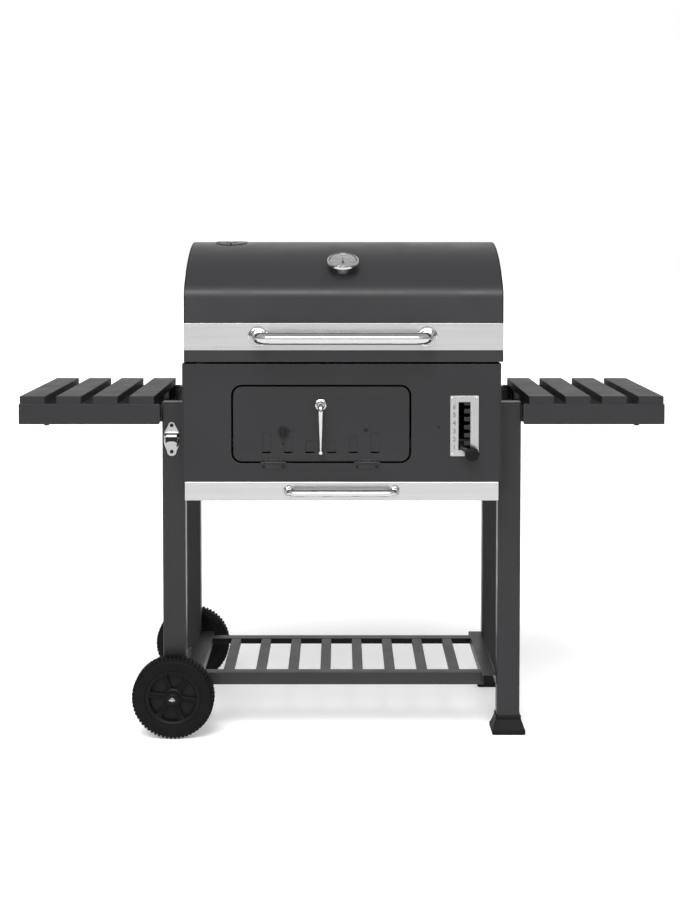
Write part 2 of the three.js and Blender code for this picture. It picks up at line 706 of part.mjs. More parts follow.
function addLid(parent) {
  const lid = new THREE.Group();
  parent.add(lid);
  addPiece(lid, 'lid_sheet', lidSheet(), charcoalPaint);
  for (const [sideName, side] of sides) {
    const faces = [side * (bodyHalf - sheet), side * bodyHalf];
    const [x0, x1] = faces.map((x) => x + lidMiddleX).sort((a, b) => a - b);
    addPiece(lid, `lid_end_${sideName}`, extrudeX(lidPath(0, lidBottom), x0, x1, 5), charcoalPaint);
    addPiece(lid, `lid_hinge_strap_${sideName}`, lidStrap(side * hingeX), darkSteel);
    addPiece(parent, `lid_hinge_base_${sideName}`, lidHingeBase(side * hingeX), darkSteel);
  }
  const bandFront = bodyFront - bandProud;
  const band = block(
    lidMiddleX - bodyHalf, lidMiddleX + bodyHalf, bandFront, bodyFront - gap, bandBottom, bandTop);
  addPiece(lid, 'lid_band', band, stainless);
  const handle = bowHandle(
    lidHandleX, lidHandleHalf, lidHandleZ, bandFront - gap, lidHandleStand, lidHandleBar, 23.5);
  addPiece(lid, 'lid_handle', handle, chrome);
  addThermometer(lid);

  const vent = placeOnArch(new THREE.Group(), ventX, ventTilt);
  lid.add(vent);
  const backing = cut(archedDisc(ventRadius - 1, -sheet - gap - 1.2, -sheet - gap), ...ventHoles(0));
  addPiece(vent, 'lid_vent_collar', backing, charcoalPaint);
  const cover = cut(archedDisc(ventRadius, gap, gap + 1.2), ...ventHoles(-ventTravel));
  const tab = block(-2, 2, 8 - ventRadius, 12 - ventRadius, -1, 3);
  addPiece(vent, 'lid_vent_damper', join(cover, tab), charcoalPaint);
}

// ---------------------------------------------------------------- charcoal door

function doorPan() {
  const [left, right] = [doorMiddleX - doorHoleWidth / 2 + doorGap, doorMiddleX + doorHoleWidth / 2 - doorGap];
  const top = doorMiddleZ + doorHoleHeight / 2 - doorGap;
  const corner = doorHoleCorner - doorGap;
  const outline = roundedRect(left, doorBottom, right, top, corner);
  for (let index = 0; index < 6; index++) {
    const x = doorMiddleX - 1 + (index - 2.5) * airSlotPitch;
    const slotTop = 703 + 9.5 * (Math.abs(index - 2.5) - 0.5);
    outline.holes.push(roundedRect(x - airSlotWidth / 2, airSlotBottom, x + airSlotWidth / 2, slotTop, 3));
  }
  outline.holes.push(
    roundedRect(damperKnobX - 4.5, damperKnobZ - 4, damperKnobX + damperTravel + 4.5, damperKnobZ + 4, 3));
  const face = extrudeY(outline, bodyFront, bodyFront + sheet);
  const ring = roundedRect(left, doorBottom, right, top, corner);
  ring.holes.push(roundedRect(left + sheet, doorBottom + sheet, right - sheet, top - sheet, corner - sheet));
  const rim = extrudeY(ring, bodyFront + 1, bodyFront + doorDepth);
  const knuckles = [-157, 58.5].map((x) => join(
    rodX(x - 20.6, x + 20.6, doorPivotY, doorPivotZ, 2.6, 12),
    block(x - 20.6, x + 20.6, doorPivotY + 0.6, bodyFront + 1, doorPivotZ, doorPivotZ + 7)));
  const bores = [-157, 58.5].map((x) => rodX(x - 22, x + 22, doorPivotY, doorPivotZ, 1.6, 8));
  const spindleHole = rodY(bodyFront - 2, bodyFront + 4, latchX, latchZ, 4.5);
  return cut(join(face, rim, ...knuckles), ...bores, spindleHole);
}

function damperPlate() {
  const front = bodyFront + sheet + gap;
  const outline = roundedRect(-216, 677.5, 95, 735, 2);
  for (let index = 0; index < 6; index++) {
    const x = doorMiddleX - 1 + (index - 2.5) * airSlotPitch - damperTravel;
    outline.holes.push(roundedRect(x - airSlotWidth / 2, 681, x + airSlotWidth / 2, 703, 3));
  }
  const plate = extrudeY(outline, front, front + 1.2, 2);
  const stem = rodY(bodyFront - 8, front + 1, damperKnobX, damperKnobZ, 3);
  const grip = turned([[0, 0], [7, 0], [8, 2], [8, 7], [6.5, 9], [0, 9]], 16);
  return join(plate, stem, grip.rotateX(Math.PI / 2).translate(damperKnobX, bodyFront - 3, damperKnobZ));
}

function doorLatch() {
  const rose = turned([[0, 0], [14, 0], [14, 2], [11, 6], [7, 8], [6, 18], [0, 18]], 16);
  rose.rotateX(Math.PI / 2).translate(latchX, bodyFront - gap, latchZ);
  const leverY = bodyFront - 15;
  const lever = loft([
    levelRing(latchX, leverY, 678, 5, 5, 2), levelRing(latchX, leverY - 4, 700, 5.5, 5, 2),
    levelRing(latchX, leverY - 2, 760, 9, 6, 2), levelRing(latchX, leverY + 1, latchZ + 4, 11, 7, 2)]);
  const ball = new THREE.SphereGeometry(6.5, 8, 6).translate(latchX, leverY, 676);
  const spindle = rodY(bodyFront - 4, bodyFront + doorDepth + 2.4, latchX, latchZ, 4, 12);
  const tongue = block(
    latchX - 6, latchX + 6, bodyFront + doorDepth + gap, bodyFront + doorDepth + gap + 2, latchZ - 8, 825.5);
  return join(rose, lever, ball, spindle, tongue);
}

function addDoor(parent) {
  const door = new THREE.Group();
  parent.add(door);
  addPiece(door, 'charcoal_door', doorPan(), charcoalPaint);
  addPiece(door, 'door_damper', damperPlate(), charcoalPaint);
  addPiece(door, 'door_latch', doorLatch(), chrome);
}

// ---------------------------------------------------------------- ash drawer

function addDrawer(parent) {
  const drawer = new THREE.Group();
  parent.add(drawer);
  const skin = 1.2;
  const lip = 10;
  const section = [
    [bodyFront, drawerBottom], [bodyFront + lip, drawerBottom], [bodyFront + lip, drawerBottom + skin],
    [bodyFront + skin, drawerBottom + skin], [bodyFront + skin, drawerTop - skin],
    [bodyFront + lip, drawerTop - skin], [bodyFront + lip, drawerTop], [bodyFront, drawerTop],
  ];
  addPiece(drawer, 'ash_drawer_front', extrudeX(polygon(section), -drawerHalf, drawerHalf), stainless);
  const [y0, y1] = [bodyFront + lip + gap, bodyBack - 14];
  const [low, high] = [566, 602.5];
  const flanges = sides.map(([, side]) => {
    const [x0, x1] = [side * (drawerTrayHalf - 1), side * drawerHalf].sort((a, b) => a - b);
    return block(x0, x1, y0, y1, high - skin, high);
  });
  const tray = cut(
    join(block(-drawerTrayHalf, drawerTrayHalf, y0, y1, low, high), ...flanges),
    block(-drawerTrayHalf + skin, drawerTrayHalf - skin, y0 + skin, y1 - skin, low + skin, high + 1));
  addPiece(drawer, 'ash_drawer_tray', tray, galvanised);
  const handle = bowHandle(
    0, drawerHandleHalf, drawerHandleZ, bodyFront - gap, drawerHandleStand, drawerHandleBar, 13);
  addPiece(drawer, 'ash_drawer_handle', handle, chrome);
}

// ---------------------------------------------------------------- charcoal grate and its lift

function addLift(parent) {
  const lift = new THREE.Group();
  parent.add(lift);
  const grate = slottedGrate(
    -345, 345, bodyFront + 26, bodyBack - 24, coalGrateZ, coalGrateZ + 5, 30, 10);
  addPiece(lift, 'charcoal_grate', grate, castIron);
  const [low, high] = [lowestNotch - 4, coalGrateZ - gap];
  const frontY = bodyFront + 31;
  const rearY = bodyBack - 41;
  const frame = join(
    block(-290, 290, frontY, frontY + 12, low, high), block(-290, 290, rearY, rearY + 12, low, high),
    block(-262, -250, frontY + 1, rearY + 1, low + 1, high),
    block(250, 262, frontY + 1, rearY + 1, low + 1, high));
  addPiece(lift, 'lift_frame', frame, darkSteel);

  const knobX = 298.7;
  const knobZ = lowestNotch - 13;
  const armY = bodyFront - 17;
  const arm = new THREE.CylinderGeometry(4.5, 4.5, Math.hypot(knobX - channelX, knobZ - lowestNotch), 12);
  arm.rotateZ(Math.atan2(knobZ - lowestNotch, knobX - channelX) - Math.PI / 2);
  arm.translate((knobX + channelX) / 2, armY, (knobZ + lowestNotch) / 2);
  const grip = turned([[0, 0], [12, 0], [16, 3], [16, 9], [13, 13], [0, 14]], 20);
  const lever = join(
    rodY(armY, frontY - gap, channelX, lowestNotch, 4, 12),
    rodY(armY - 4, armY + 4, channelX, lowestNotch, 5, 12), arm,
    grip.rotateX(Math.PI / 2).translate(knobX, armY + 4, knobZ));
  addPiece(lift, 'lift_lever', lever, blackPlastic);
}

// ---------------------------------------------------------------- the whole grill

const group = new THREE.Group();
addCart(group);
for (const [sideName, side] of sides) addShelf(group, sideName, side);
addFirebox(group);
addLid(group);
addDoor(group);
addDrawer(group);
addLift(group);

export default group;
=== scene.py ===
"""A charcoal trolley grill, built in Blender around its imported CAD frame.

Shapes are written in millimetres and turned into metres when a piece is made. +X is the user's
right, +Y runs to the back and +Z is up, as in the frame. Left and right are as seen from the front.
"""

import math

import bmesh
import bpy
from mathutils import Matrix, Vector
from mathutils.geometry import tessellate_polygon


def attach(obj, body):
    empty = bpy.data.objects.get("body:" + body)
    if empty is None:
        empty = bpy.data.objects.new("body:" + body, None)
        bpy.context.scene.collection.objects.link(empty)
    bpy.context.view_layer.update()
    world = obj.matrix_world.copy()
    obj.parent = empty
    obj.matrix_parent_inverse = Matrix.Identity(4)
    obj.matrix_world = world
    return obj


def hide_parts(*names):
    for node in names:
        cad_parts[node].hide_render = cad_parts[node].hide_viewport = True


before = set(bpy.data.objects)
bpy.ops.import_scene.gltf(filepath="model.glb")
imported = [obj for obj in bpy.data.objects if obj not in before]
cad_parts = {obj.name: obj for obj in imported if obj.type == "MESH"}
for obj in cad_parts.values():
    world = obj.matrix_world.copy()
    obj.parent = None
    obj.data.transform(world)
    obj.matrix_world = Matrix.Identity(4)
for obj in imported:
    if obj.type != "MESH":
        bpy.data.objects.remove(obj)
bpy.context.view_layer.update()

MM = 0.001
SMOOTH_BELOW = math.radians(14)   # faces that meet at less than this are shaded as one surface
ROUND_STEPS = 32                  # sides of a round bar
ARCH_STEPS = 72                   # chords of the lid's arch
SHEET = 1.5                       # the usual sheet thickness, in millimetres

# ------------------------------------------------------------------ dimensions, in millimetres

BODY_FRONT, BODY_BACK, BODY_BOTTOM, BODY_TOP = -211.0, 269.0, 608.0, 881.0
PANEL_HALF, BODY_HALF = 364.0, 367.0
BODY_MIDDLE = (BODY_FRONT + BODY_BACK) / 2
LID_BOTTOM, LID_CREST, LID_RADIUS, LID_BEND, LID_MIDDLE = 885.0, 1159.5, 315.0, 44.0, 4.5
ARCH_Z = LID_CREST - LID_RADIUS
CART_MIDDLE, LEG_X, LEG_Y = 24.5, 394.15, 163.0
LEG_WIDTH, LEG_DEPTH, LEG_TOP = 53.7, 35.0, 785.0
LEG_BOTTOM = {"left": 70, "right": 8}   # the left legs stop at the wheels, the right ones stand in feet
WHEEL_Y, WHEEL_Z = 205.5, 96.0
SHELF_FRONT, SHELF_REAR = -174.0, 223.0
SHELF_INNER, SHELF_OUTER, SHELF_LOW, SHELF_HIGH = 423.4, 752.5, 735.5, 783.0
SLAT_START, SLAT_PITCH, SLAT_WIDTH, SLAT_HALF_LENGTH, SLAT_COUNT = 436, 85, 59, 199.5, 4
DOOR_LEFT, DOOR_RIGHT, DOOR_LOW, DOOR_HIGH, DOOR_CORNER = -254.3, 160.3, 650.6, 832.2, 24.8
DOOR_GAP = 4.3
DOOR_HINGES = (-157, 58.5)
SLOT_MIDDLES = [-173, -123, -73, -23, 27, 77]
SLOT_HALF, SLOT_CORNER = 10.5, 3
LATCH_X, LATCH_Z = -48.0, 786.0
KNOB_X, KNOB_Z = -134.0, 724.0
CHANNEL_X, NOTCH_LOW, NOTCH_PITCH, NOTCH_COUNT = 276.0, 687.6, 18.6, 6
DRAWER_LOW, DRAWER_HIGH, DRAWER_HALF = 564.0, 607.6, 361.5
PULL_HALF, PULL_Z = 122, 587
BAND_LOW, BAND_HIGH = 912, 974
GRIP_X, GRIP_HALF, GRIP_Z = 2.5, 194, 942.5
THERMOMETER_X = 3.0
THERMOMETER_TILT, THERMOMETER_LEAN = math.radians(36.2), math.radians(27.5)
SIDES = (("left", -1), ("right", 1))
ENDS = (("front", -1), ("rear", 1))

# ------------------------------------------------------------------ materials


class Wiring:
    """The node tree of a material or of the world, with the nodes that both need."""

    def __init__(self, owner):
        owner.use_nodes = True
        self.nodes = owner.node_tree.nodes
        self.links = owner.node_tree.links

    def spread(self, value, from_low, from_high, low, high):
        """Maps a value's range onto another range, clamped."""
        node = self.nodes.new("ShaderNodeMapRange")
        sockets = ("From Min", "From Max", "To Min", "To Max")
        for name, number in zip(sockets, (from_low, from_high, low, high)):
            node.inputs[name].default_value = number
        self.links.new(value, node.inputs["Value"])
        return node.outputs["Result"]

    def ramp(self, value, stops):
        node = self.nodes.new("ShaderNodeValToRGB")
        ramp = node.color_ramp
        while len(ramp.elements) < len(stops):
            ramp.elements.new(0.5)
        for element, (position, color) in zip(ramp.elements, stops):
            element.position = position
            element.color = (*color, 1)
        self.links.new(value, node.inputs["Fac"])
        return node.outputs["Color"]


class Look(Wiring):
    """A Principled material whose colour, roughness and bump come from procedural nodes."""

    def __init__(self, name, **sockets):
        self.material = bpy.data.materials.new(name)
        super().__init__(self.material)
        self.shader = self.nodes["Principled BSDF"]
        for socket, value in sockets.items():
            self.shader.inputs[socket.replace("_", " ")].default_value = value
        self.place = self.nodes.new("ShaderNodeTexCoord").outputs["Object"]
        self.bumps = None

    def noise(self, scale, detail=2.0, stretch=(1, 1, 1), rough=0.5):
        mapping = self.nodes.new("ShaderNodeMapping")
        mapping.inputs["Scale"].default_value = stretch
        self.links.new(self.place, mapping.inputs["Vector"])
        texture = self.nodes.new("ShaderNodeTexNoise")
        texture.inputs["Scale"].default_value = scale
        texture.inputs["Detail"].default_value = detail
        texture.inputs["Roughness"].default_value = rough
        self.links.new(mapping.outputs["Vector"], texture.inputs["Vector"])
        return texture.outputs["Fac"]

    def cells(self, scale, output="Distance"):
        texture = self.nodes.new("ShaderNodeTexVoronoi")
        texture.inputs["Scale"].default_value = scale
        self.links.new(self.place, texture.inputs["Vector"])
        return texture.outputs[output]

    def mix(self, share, first, second, blend="MIX"):
        node = self.nodes.new("ShaderNodeMix")
        node.data_type = "RGBA"
        node.blend_type = blend
        sockets = (node.inputs["Factor"], node.inputs[6], node.inputs[7])
        for socket, value in zip(sockets, (share, first, second)):
            if isinstance(value, bpy.types.NodeSocket):
                self.links.new(value, socket)
            else:
                socket.default_value = value
        return node.outputs[2]

    def bump(self, height, depth, strength=1.0):
        """Adds a bump of that depth in metres on top of those before it."""
        node = self.nodes.new("ShaderNodeBump")
        node.inputs["Strength"].default_value = strength
        node.inputs["Distance"].default_value = depth
        self.links.new(height, node.inputs["Height"])
        if self.bumps is not None:
            self.links.new(self.bumps, node.inputs["Normal"])
        self.bumps = node.outputs["Normal"]
        self.links.new(self.bumps, self.shader.inputs["Normal"])

    def color(self, output):
        self.links.new(output, self.shader.inputs["Base Color"])

    def rough(self, output):
        self.links.new(output, self.shader.inputs["Roughness"])

    def geometry(self, output):
        return self.nodes.new("ShaderNodeNewGeometry").outputs[output]


def grey(level, warm=0.0):
    return (level * (1 + warm), level, level * (1 - warm))


def slate(level):
    """Grey with a trace of violet, like the grill's paint."""
    return (level * 1.01, level * 0.98, level * 1.07)


def painted(name, level, rough_low, rough_high, wear=1.6):
    """Sprayed paint on sheet steel: orange peel, faint cloudiness, paler rubbed edges."""
    look = Look(name, Metallic=0.0, Specular_IOR_Level=0.2)
    clouds = look.noise(5.0, 4.0)
    body = look.ramp(clouds, [(0.3, slate(level * 0.93)), (0.7, slate(level * 1.07))])
    speck = look.ramp(look.noise(1400.0, 1.0), [(0.35, grey(0.86)), (0.65, grey(1.0))])
    flecked = look.mix(0.7, body, speck, "MULTIPLY")
    edges = look.spread(look.geometry("Pointiness"), 0.53, 0.62, 0.0, 0.5)
    look.color(look.mix(edges, flecked, (*slate(level * wear), 1)))
    look.rough(look.spread(look.noise(16.0, 5.0), 0.3, 0.7, rough_low, rough_high))
    look.bump(look.noise(750.0, 2.0), 0.00006, 0.6)
    return look.material


def brushed(name, level, stretch, rough_low, rough_high, warm=0.0):
    """Stainless sheet, brushed along the axis whose stretch is small."""
    look = Look(name, Metallic=1.0)
    lines = look.noise(1.0, 3.0, stretch, 0.65)
    smudge = look.noise(9.0, 4.0)
    look.color(look.ramp(lines, [(0.25, grey(level * 0.9, warm)), (0.75, grey(level * 1.06, warm))]))
    grain = look.spread(lines, 0.2, 0.8, rough_low, rough_high)
    look.rough(look.mix(0.3, grain, look.spread(smudge, 0.3, 0.7, rough_low, rough_high)))
    look.bump(lines, 0.00003, 0.35)
    return look.material


def polished(name, level, rough_low, rough_high):
    """Chrome plate: fine polishing swirls, faint finger marks."""
    look = Look(name, Metallic=1.0)
    marks = look.noise(38.0, 5.0, rough=0.6)
    look.color(look.ramp(marks, [(0.3, grey(level * 0.96, 0.008)), (0.7, grey(level, 0.004))]))
    look.rough(look.spread(marks, 0.35, 0.75, rough_low, rough_high))
    look.bump(look.noise(420.0, 2.0), 0.000008, 0.4)
    return look.material


def moulded(name, level, rough_low, rough_high, grain=1300.0, depth=0.00005):
    """Moulded plastic or rubber: fine spark grain and scuffed edges."""
    look = Look(name, Specular_IOR_Level=0.1)
    clouds = look.noise(22.0, 4.0)
    body = look.ramp(clouds, [(0.3, grey(level * 0.85)), (0.7, grey(level * 1.15))])
    edges = look.spread(look.geometry("Pointiness"), 0.53, 0.63, 0.0, 0.6)
    look.color(look.mix(edges, body, (*grey(level * 2.2), 1)))
    look.rough(look.spread(clouds, 0.3, 0.7, rough_low, rough_high))
    look.bump(look.noise(grain, 2.0), depth, 0.5)
    return look.material


def cast(name):
    """Enamelled cast iron: sand-cast pores, seasoned brown in places."""
    look = Look(name, Metallic=0.2, Specular_IOR_Level=0.5)
    season = look.noise(14.0, 5.0)
    tones = [(0.3, (0.012, 0.012, 0.013)), (0.55, (0.022, 0.021, 0.02)), (0.8, (0.036, 0.027, 0.02))]
    look.color(look.ramp(season, tones))
    look.rough(look.spread(season, 0.3, 0.7, 0.45, 0.75))
    look.bump(look.noise(260.0, 5.0), 0.00035, 0.8)
    look.bump(look.cells(520.0), 0.0002, 0.4)
    return look.material


def zinc(name, level):
    """Galvanised steel with its crystal spangle."""
    look = Look(name, Metallic=0.9)
    spangle = look.cells(95.0, output="Color")
    flake = look.spread(spangle, 0.0, 1.0, 0.0, 1.0)
    look.color(look.ramp(flake, [(0.0, grey(level * 0.82, -0.02)), (1.0, grey(level * 1.12, -0.01))]))
    look.rough(look.spread(flake, 0.0, 1.0, 0.32, 0.5))
    look.bump(look.noise(300.0, 3.0), 0.00004, 0.5)
    return look.material


def printed(name, color, rough=0.5):
    """Ink or enamel: a thin, slightly uneven coat."""
    look = Look(name, Specular_IOR_Level=0.4)
    coat = look.noise(240.0, 3.0)
    dark = tuple(c * 0.88 for c in color)
    look.color(look.ramp(coat, [(0.3, dark), (0.7, color)]))
    look.rough(look.spread(coat, 0.3, 0.7, rough - 0.06, rough + 0.06))
    look.bump(coat, 0.00001, 0.3)
    return look.material


def glass(name):
    look = Look(name, Transmission_Weight=1.0, IOR=1.5)
    dust = look.noise(60.0, 4.0)
    look.color(look.ramp(dust, [(0.3, (0.93, 0.96, 0.95)), (0.7, (0.98, 0.99, 0.99))]))
    look.rough(look.spread(dust, 0.4, 0.8, 0.0, 0.05))
    return look.material


LOOKS = {
    "charcoal_paint": painted("charcoal_paint", 0.0235, 0.32, 0.42),
    "slat_paint": painted("slat_paint", 0.019, 0.42, 0.52),
    "stainless": brushed("stainless", 0.5, (3, 700, 700), 0.24, 0.36),
    "stainless_upright": brushed("stainless_upright", 0.42, (700, 700, 3), 0.22, 0.34, 0.015),
    "chrome": polished("chrome", 0.56, 0.05, 0.11),
    "black_plastic": moulded("black_plastic", 0.006, 0.45, 0.58),
    "tyre": moulded("tyre", 0.004, 0.55, 0.7, 900.0, 0.00008),
    "cast_iron": cast("cast_iron"),
    "galvanised": zinc("galvanised", 0.3),
    "dark_steel": painted("dark_steel", 0.018, 0.36, 0.5, 2.0),
    # Near-black paint used as painted shade: on the slats' sides, at the back of the rack's rear rail and on
    # the plates beside the legs.
    "painted_shade": painted("painted_shade", 0.004, 0.6, 0.7),
    "screw_black": painted("screw_black", 0.005, 0.4, 0.5, 2.6),
    "clear_glass": glass("clear_glass"),
    "needle_black": printed("needle_black", (0.012, 0.012, 0.013), 0.4),
    "dial_enamel": printed("dial_enamel", (0.27, 0.27, 0.265), 0.4),
    "ink": printed("ink", (0.02, 0.02, 0.022), 0.5),
    "scale_ink": printed("scale_ink", (0.16, 0.16, 0.165), 0.5),
}

# ------------------------------------------------------------------ outlines


def arc(a, b, radius, start, stop, steps=6):
    """Points on an arc in the plane, angles in degrees."""
    angles = [math.radians(start + (stop - start) * i / steps) for i in range(steps + 1)]
    return [(a + radius * math.cos(t), b + radius * math.sin(t)) for t in angles]


def rounded(left, low, right, high, radius, steps=6):
    """A rectangle with rounded corners."""
    corners = ((right, low, -90), (right, high, 0), (left, high, 90), (left, low, 180))
    points = []
    for a, b, start in corners:
        centre_a = a - radius if a == right else a + radius
        centre_b = b - radius if b == high else b + radius
        points += arc(centre_a, centre_b, radius, start, start + 90, steps)
    return points


def shrunk(loop, inset):
    """A closed outline moved inwards (it runs anticlockwise) by inset."""
    result = []
    count = len(loop)
    for i in range(count):
        before, here, after = (Vector(loop[(i + k) % count]) for k in (-1, 0, 1))
        sides = [v.normalized() for v in (here - before, after - here)]
        normals = [Vector((-v.y, v.x)) for v in sides]
        middle = normals[0] + normals[1]
        middle.normalize()
        reach = inset / max(0.4, middle.dot(normals[0]))
        moved = here + middle * reach
        result.append((moved.x, moved.y))
    return result


def area(loop):
    """The area inside a closed outline, negative where it runs clockwise."""
    return sum(a[0] * b[1] - b[0] * a[1] for a, b in zip(loop, loop[1:] + loop[:1])) / 2


def lid_outline(inset, bottom):
    """The lid's outline in Y and Z: upright walls, a bend, the arch, a bend, and down again."""
    bend_y = BODY_FRONT + LID_BEND
    bend_z = ARCH_Z + math.sqrt((LID_RADIUS - LID_BEND) ** 2 - (BODY_MIDDLE - bend_y) ** 2)
    turn = math.degrees(math.atan2(bend_z - ARCH_Z, bend_y - BODY_MIDDLE))
    rear_turn = 180 - turn
    points = [(BODY_BACK - inset, bottom)]
    points += arc(BODY_BACK - LID_BEND, bend_z, LID_BEND - inset, 0, rear_turn, 10)
    points += arc(BODY_MIDDLE, ARCH_Z, LID_RADIUS - inset, rear_turn, turn, ARCH_STEPS)[1:-1]
    points += arc(bend_y, bend_z, LID_BEND - inset, turn, 180, 10)
    points.append((BODY_FRONT + inset, bottom))
    return points


def span(side, near, far):
    """The low and high of a stretch between two distances from the middle, on one side."""
    return sorted((side * near, side * far))


def mirrored(profile):
    """A profile of (radius, height) followed by its reflection below height zero."""
    return [*profile, *[(radius, -height) for radius, height in reversed(profile)]]


# ------------------------------------------------------------------ solids, added to a bmesh

PLANES = {
    "x": lambda a, b, c: Vector((c, a, b)),
    "y": lambda a, b, c: Vector((a, c, b)),
    "z": lambda a, b, c: Vector((a, b, c)),
}


def bridge(bm, ring, following):
    """Joins two closed rings with quads."""
    for i in range(len(ring)):
        j = (i + 1) % len(ring)
        bm.faces.new((ring[i], ring[j], following[j], following[i]))


def skin(bm, rings):
    """Joins rings of points, all of one length, with quads, and closes both ends."""
    made = [[bm.verts.new(p) for p in ring] for ring in rings]
    for ring, following in zip(made, made[1:]):
        bridge(bm, ring, following)
    bm.faces.new(made[0][::-1])
    bm.faces.new(made[-1])


def plate(bm, loops, axis, low, high, edge=0.4, steps=2):
    """A flat plate, thin along axis, with rounded edges. The first loop is its outline, the others holes."""
    place = PLANES[axis]
    edge = min(edge, (high - low) / 2 * 0.98)
    levels = []
    for i in range(steps + 1):
        turn = math.radians(90 * i / steps)
        levels.append((edge * (1 - math.sin(turn)), low + edge * (1 - math.cos(turn))))
    levels += [(inset, low + high - c) for inset, c in reversed(levels)]
    caps = ([], [])
    for index, loop in enumerate(loops):
        if (area(loop) > 0) == (index > 0):
            loop = loop[::-1]
        rings = [[bm.verts.new(place(a, b, c)) for a, b in shrunk(loop, inset)] for inset, c in levels]
        for ring, following in zip(rings, rings[1:]):
            bridge(bm, ring, following)
        caps[0].append(rings[0])
        caps[1].append(rings[-1])
    for side in caps:
        flat = [v for ring in side for v in ring]
        if len(side) == 1 and len(flat) <= 60:
            bm.faces.new(flat)
            continue
        for triangle in tessellate_polygon([[v.co for v in ring] for ring in side]):
            corners = [flat[i] for i in triangle]
            if len(set(corners)) == 3:
                bm.faces.new(corners)


def box(bm, x, y, z, edge=0.5):
    """A block between the low and high of x, y and z, with rounded edges."""
    made = bmesh.ops.create_cube(bm, size=1.0)["verts"]
    for v in made:
        v.co = Vector([low + (high - low) * (c + 0.5) for (low, high), c in zip((x, y, z), v.co)])
    edges = list(dict.fromkeys(e for v in made for e in v.link_edges))
    bmesh.ops.bevel(bm, geom=edges, offset=edge, segments=2, profile=0.5, affect="EDGES")


def levels_shell(bm, outline, levels):
    """A shell whose outline is moved inwards by each level's inset at that level's height."""
    skin(bm, [[(a, b, z) for a, b in shrunk(outline, inset)] for inset, z in levels])


def lathe(bm, profile, centre, axis, steps=48):
    """A profile of (radius, height) turned about axis. A radius may be a function of the angle."""
    turn = Vector((0, 0, 1)).rotation_difference(Vector(axis)).to_matrix()
    rings = []
    for radius, height in profile:
        if radius == 0:
            rings.append([bm.verts.new(Vector(centre) + turn @ Vector((0, 0, height)))])
            continue
        ring = []
        for i in range(steps):
            angle = 2 * math.pi * i / steps
            r = radius(angle) if callable(radius) else radius
            point = Vector((r * math.cos(angle), r * math.sin(angle), height))
            ring.append(bm.verts.new(Vector(centre) + turn @ point))
        rings.append(ring)
    for ring, following in zip(rings, rings[1:]):
        for i in range(steps):
            j = (i + 1) % steps
            corners = [ring[i % len(ring)], ring[j % len(ring)],
                       following[j % len(following)], following[i % len(following)]]
            corners = list(dict.fromkeys(corners))
            if len(corners) > 2:
                bm.faces.new(corners)
    for ring in (rings[0], rings[-1]):
        if len(ring) > 2:
            bm.faces.new(ring)


def ring_lathe(bm, profile, centre, axis, steps=48):
    """Like lathe, for a profile that is itself a closed loop."""
    turn = Vector((0, 0, 1)).rotation_difference(Vector(axis)).to_matrix()
    made = []
    for i in range(steps):
        angle = 2 * math.pi * i / steps
        points = [Vector((r * math.cos(angle), r * math.sin(angle), h)) for r, h in profile]
        made.append([bm.verts.new(Vector(centre) + turn @ p) for p in points])
    for ring, following in zip(made, made[1:] + made[:1]):
        bridge(bm, ring, following)


def rod(bm, start, stop, radius, edge=0.6, steps=ROUND_STEPS):
    """A round bar with softened ends."""
    start, stop = Vector(start), Vector(stop)
    length = (stop - start).length
    profile = [(0, 0), (radius - edge, 0), (radius, edge)]
    profile += [(radius, length - edge), (radius - edge, length), (0, length)]
    lathe(bm, profile, start, stop - start, steps)


def tube(bm, points, radii, steps=ROUND_STEPS):
    """A round bar along a path. radii is one number or one for each point."""
    points = [Vector(p) for p in points]
    if not isinstance(radii, (list, tuple)):
        radii = [radii] * len(points)
    tangents = []
    for i in range(len(points)):
        before, after = points[max(0, i - 1)], points[min(len(points) - 1, i + 1)]
        tangents.append((after - before).normalized())
    side = tangents[0].orthogonal().normalized()
    rings = []
    for point, tangent, radius in zip(points, tangents, radii):
        side = (side - tangent * side.dot(tangent)).normalized()
        other = tangent.cross(side)
        rings.append([
            point + (side * math.cos(t) + other * math.sin(t)) * radius
            for t in (2 * math.pi * i / steps for i in range(steps))])
    skin(bm, rings)


def smooth_path(points):
    """A Catmull-Rom curve through the points."""
    per_span = 8
    points = [Vector(p) for p in points]
    padded = [points[0] * 2 - points[1], *points, points[-1] * 2 - points[-2]]
    result = []
    for i in range(1, len(padded) - 2):
        a, b, c, d = padded[i - 1:i + 3]
        for step in range(per_span):
            t = step / per_span
            result.append(0.5 * (2 * b + (c - a) * t + (2 * a - 5 * b + 4 * c - d) * t * t
                                 + (3 * b - a - 3 * c + d) * t ** 3))
    result.append(points[-1])
    return result


def cross(reach, half):
    """The radius, by angle, of a cross recess."""
    def radius(angle):
        offset = (angle + math.pi / 4) % (math.pi / 2) - math.pi / 4
        return min(reach / math.cos(offset), half / max(1e-6, abs(math.sin(offset))))
    return radius


def screw(bm, centre, axis, radius=4.0, height=2.2):
    """A pan-head screw with a cross recess."""
    slot = cross(radius * 0.62, radius * 0.16)
    profile = [(0, height * 0.25), (slot, height * 0.25), (slot, height * 0.97), (radius * 0.66, height),
               (radius * 0.86, height * 0.82), (radius * 0.98, height * 0.45), (radius, 0), (0, -0.4)]
    lathe(bm, profile, centre, axis, 48)


def rivet(bm, centre, axis, radius=3.2, height=1.4):
    turns = [math.radians(t) for t in range(0, 90, 15)]
    dome = [(radius * math.cos(t), height * math.sin(t)) for t in turns]
    lathe(bm, [(0, -0.4), (radius, -0.4), *dome, (0, height)], centre, axis, 24)


# ------------------------------------------------------------------ pieces


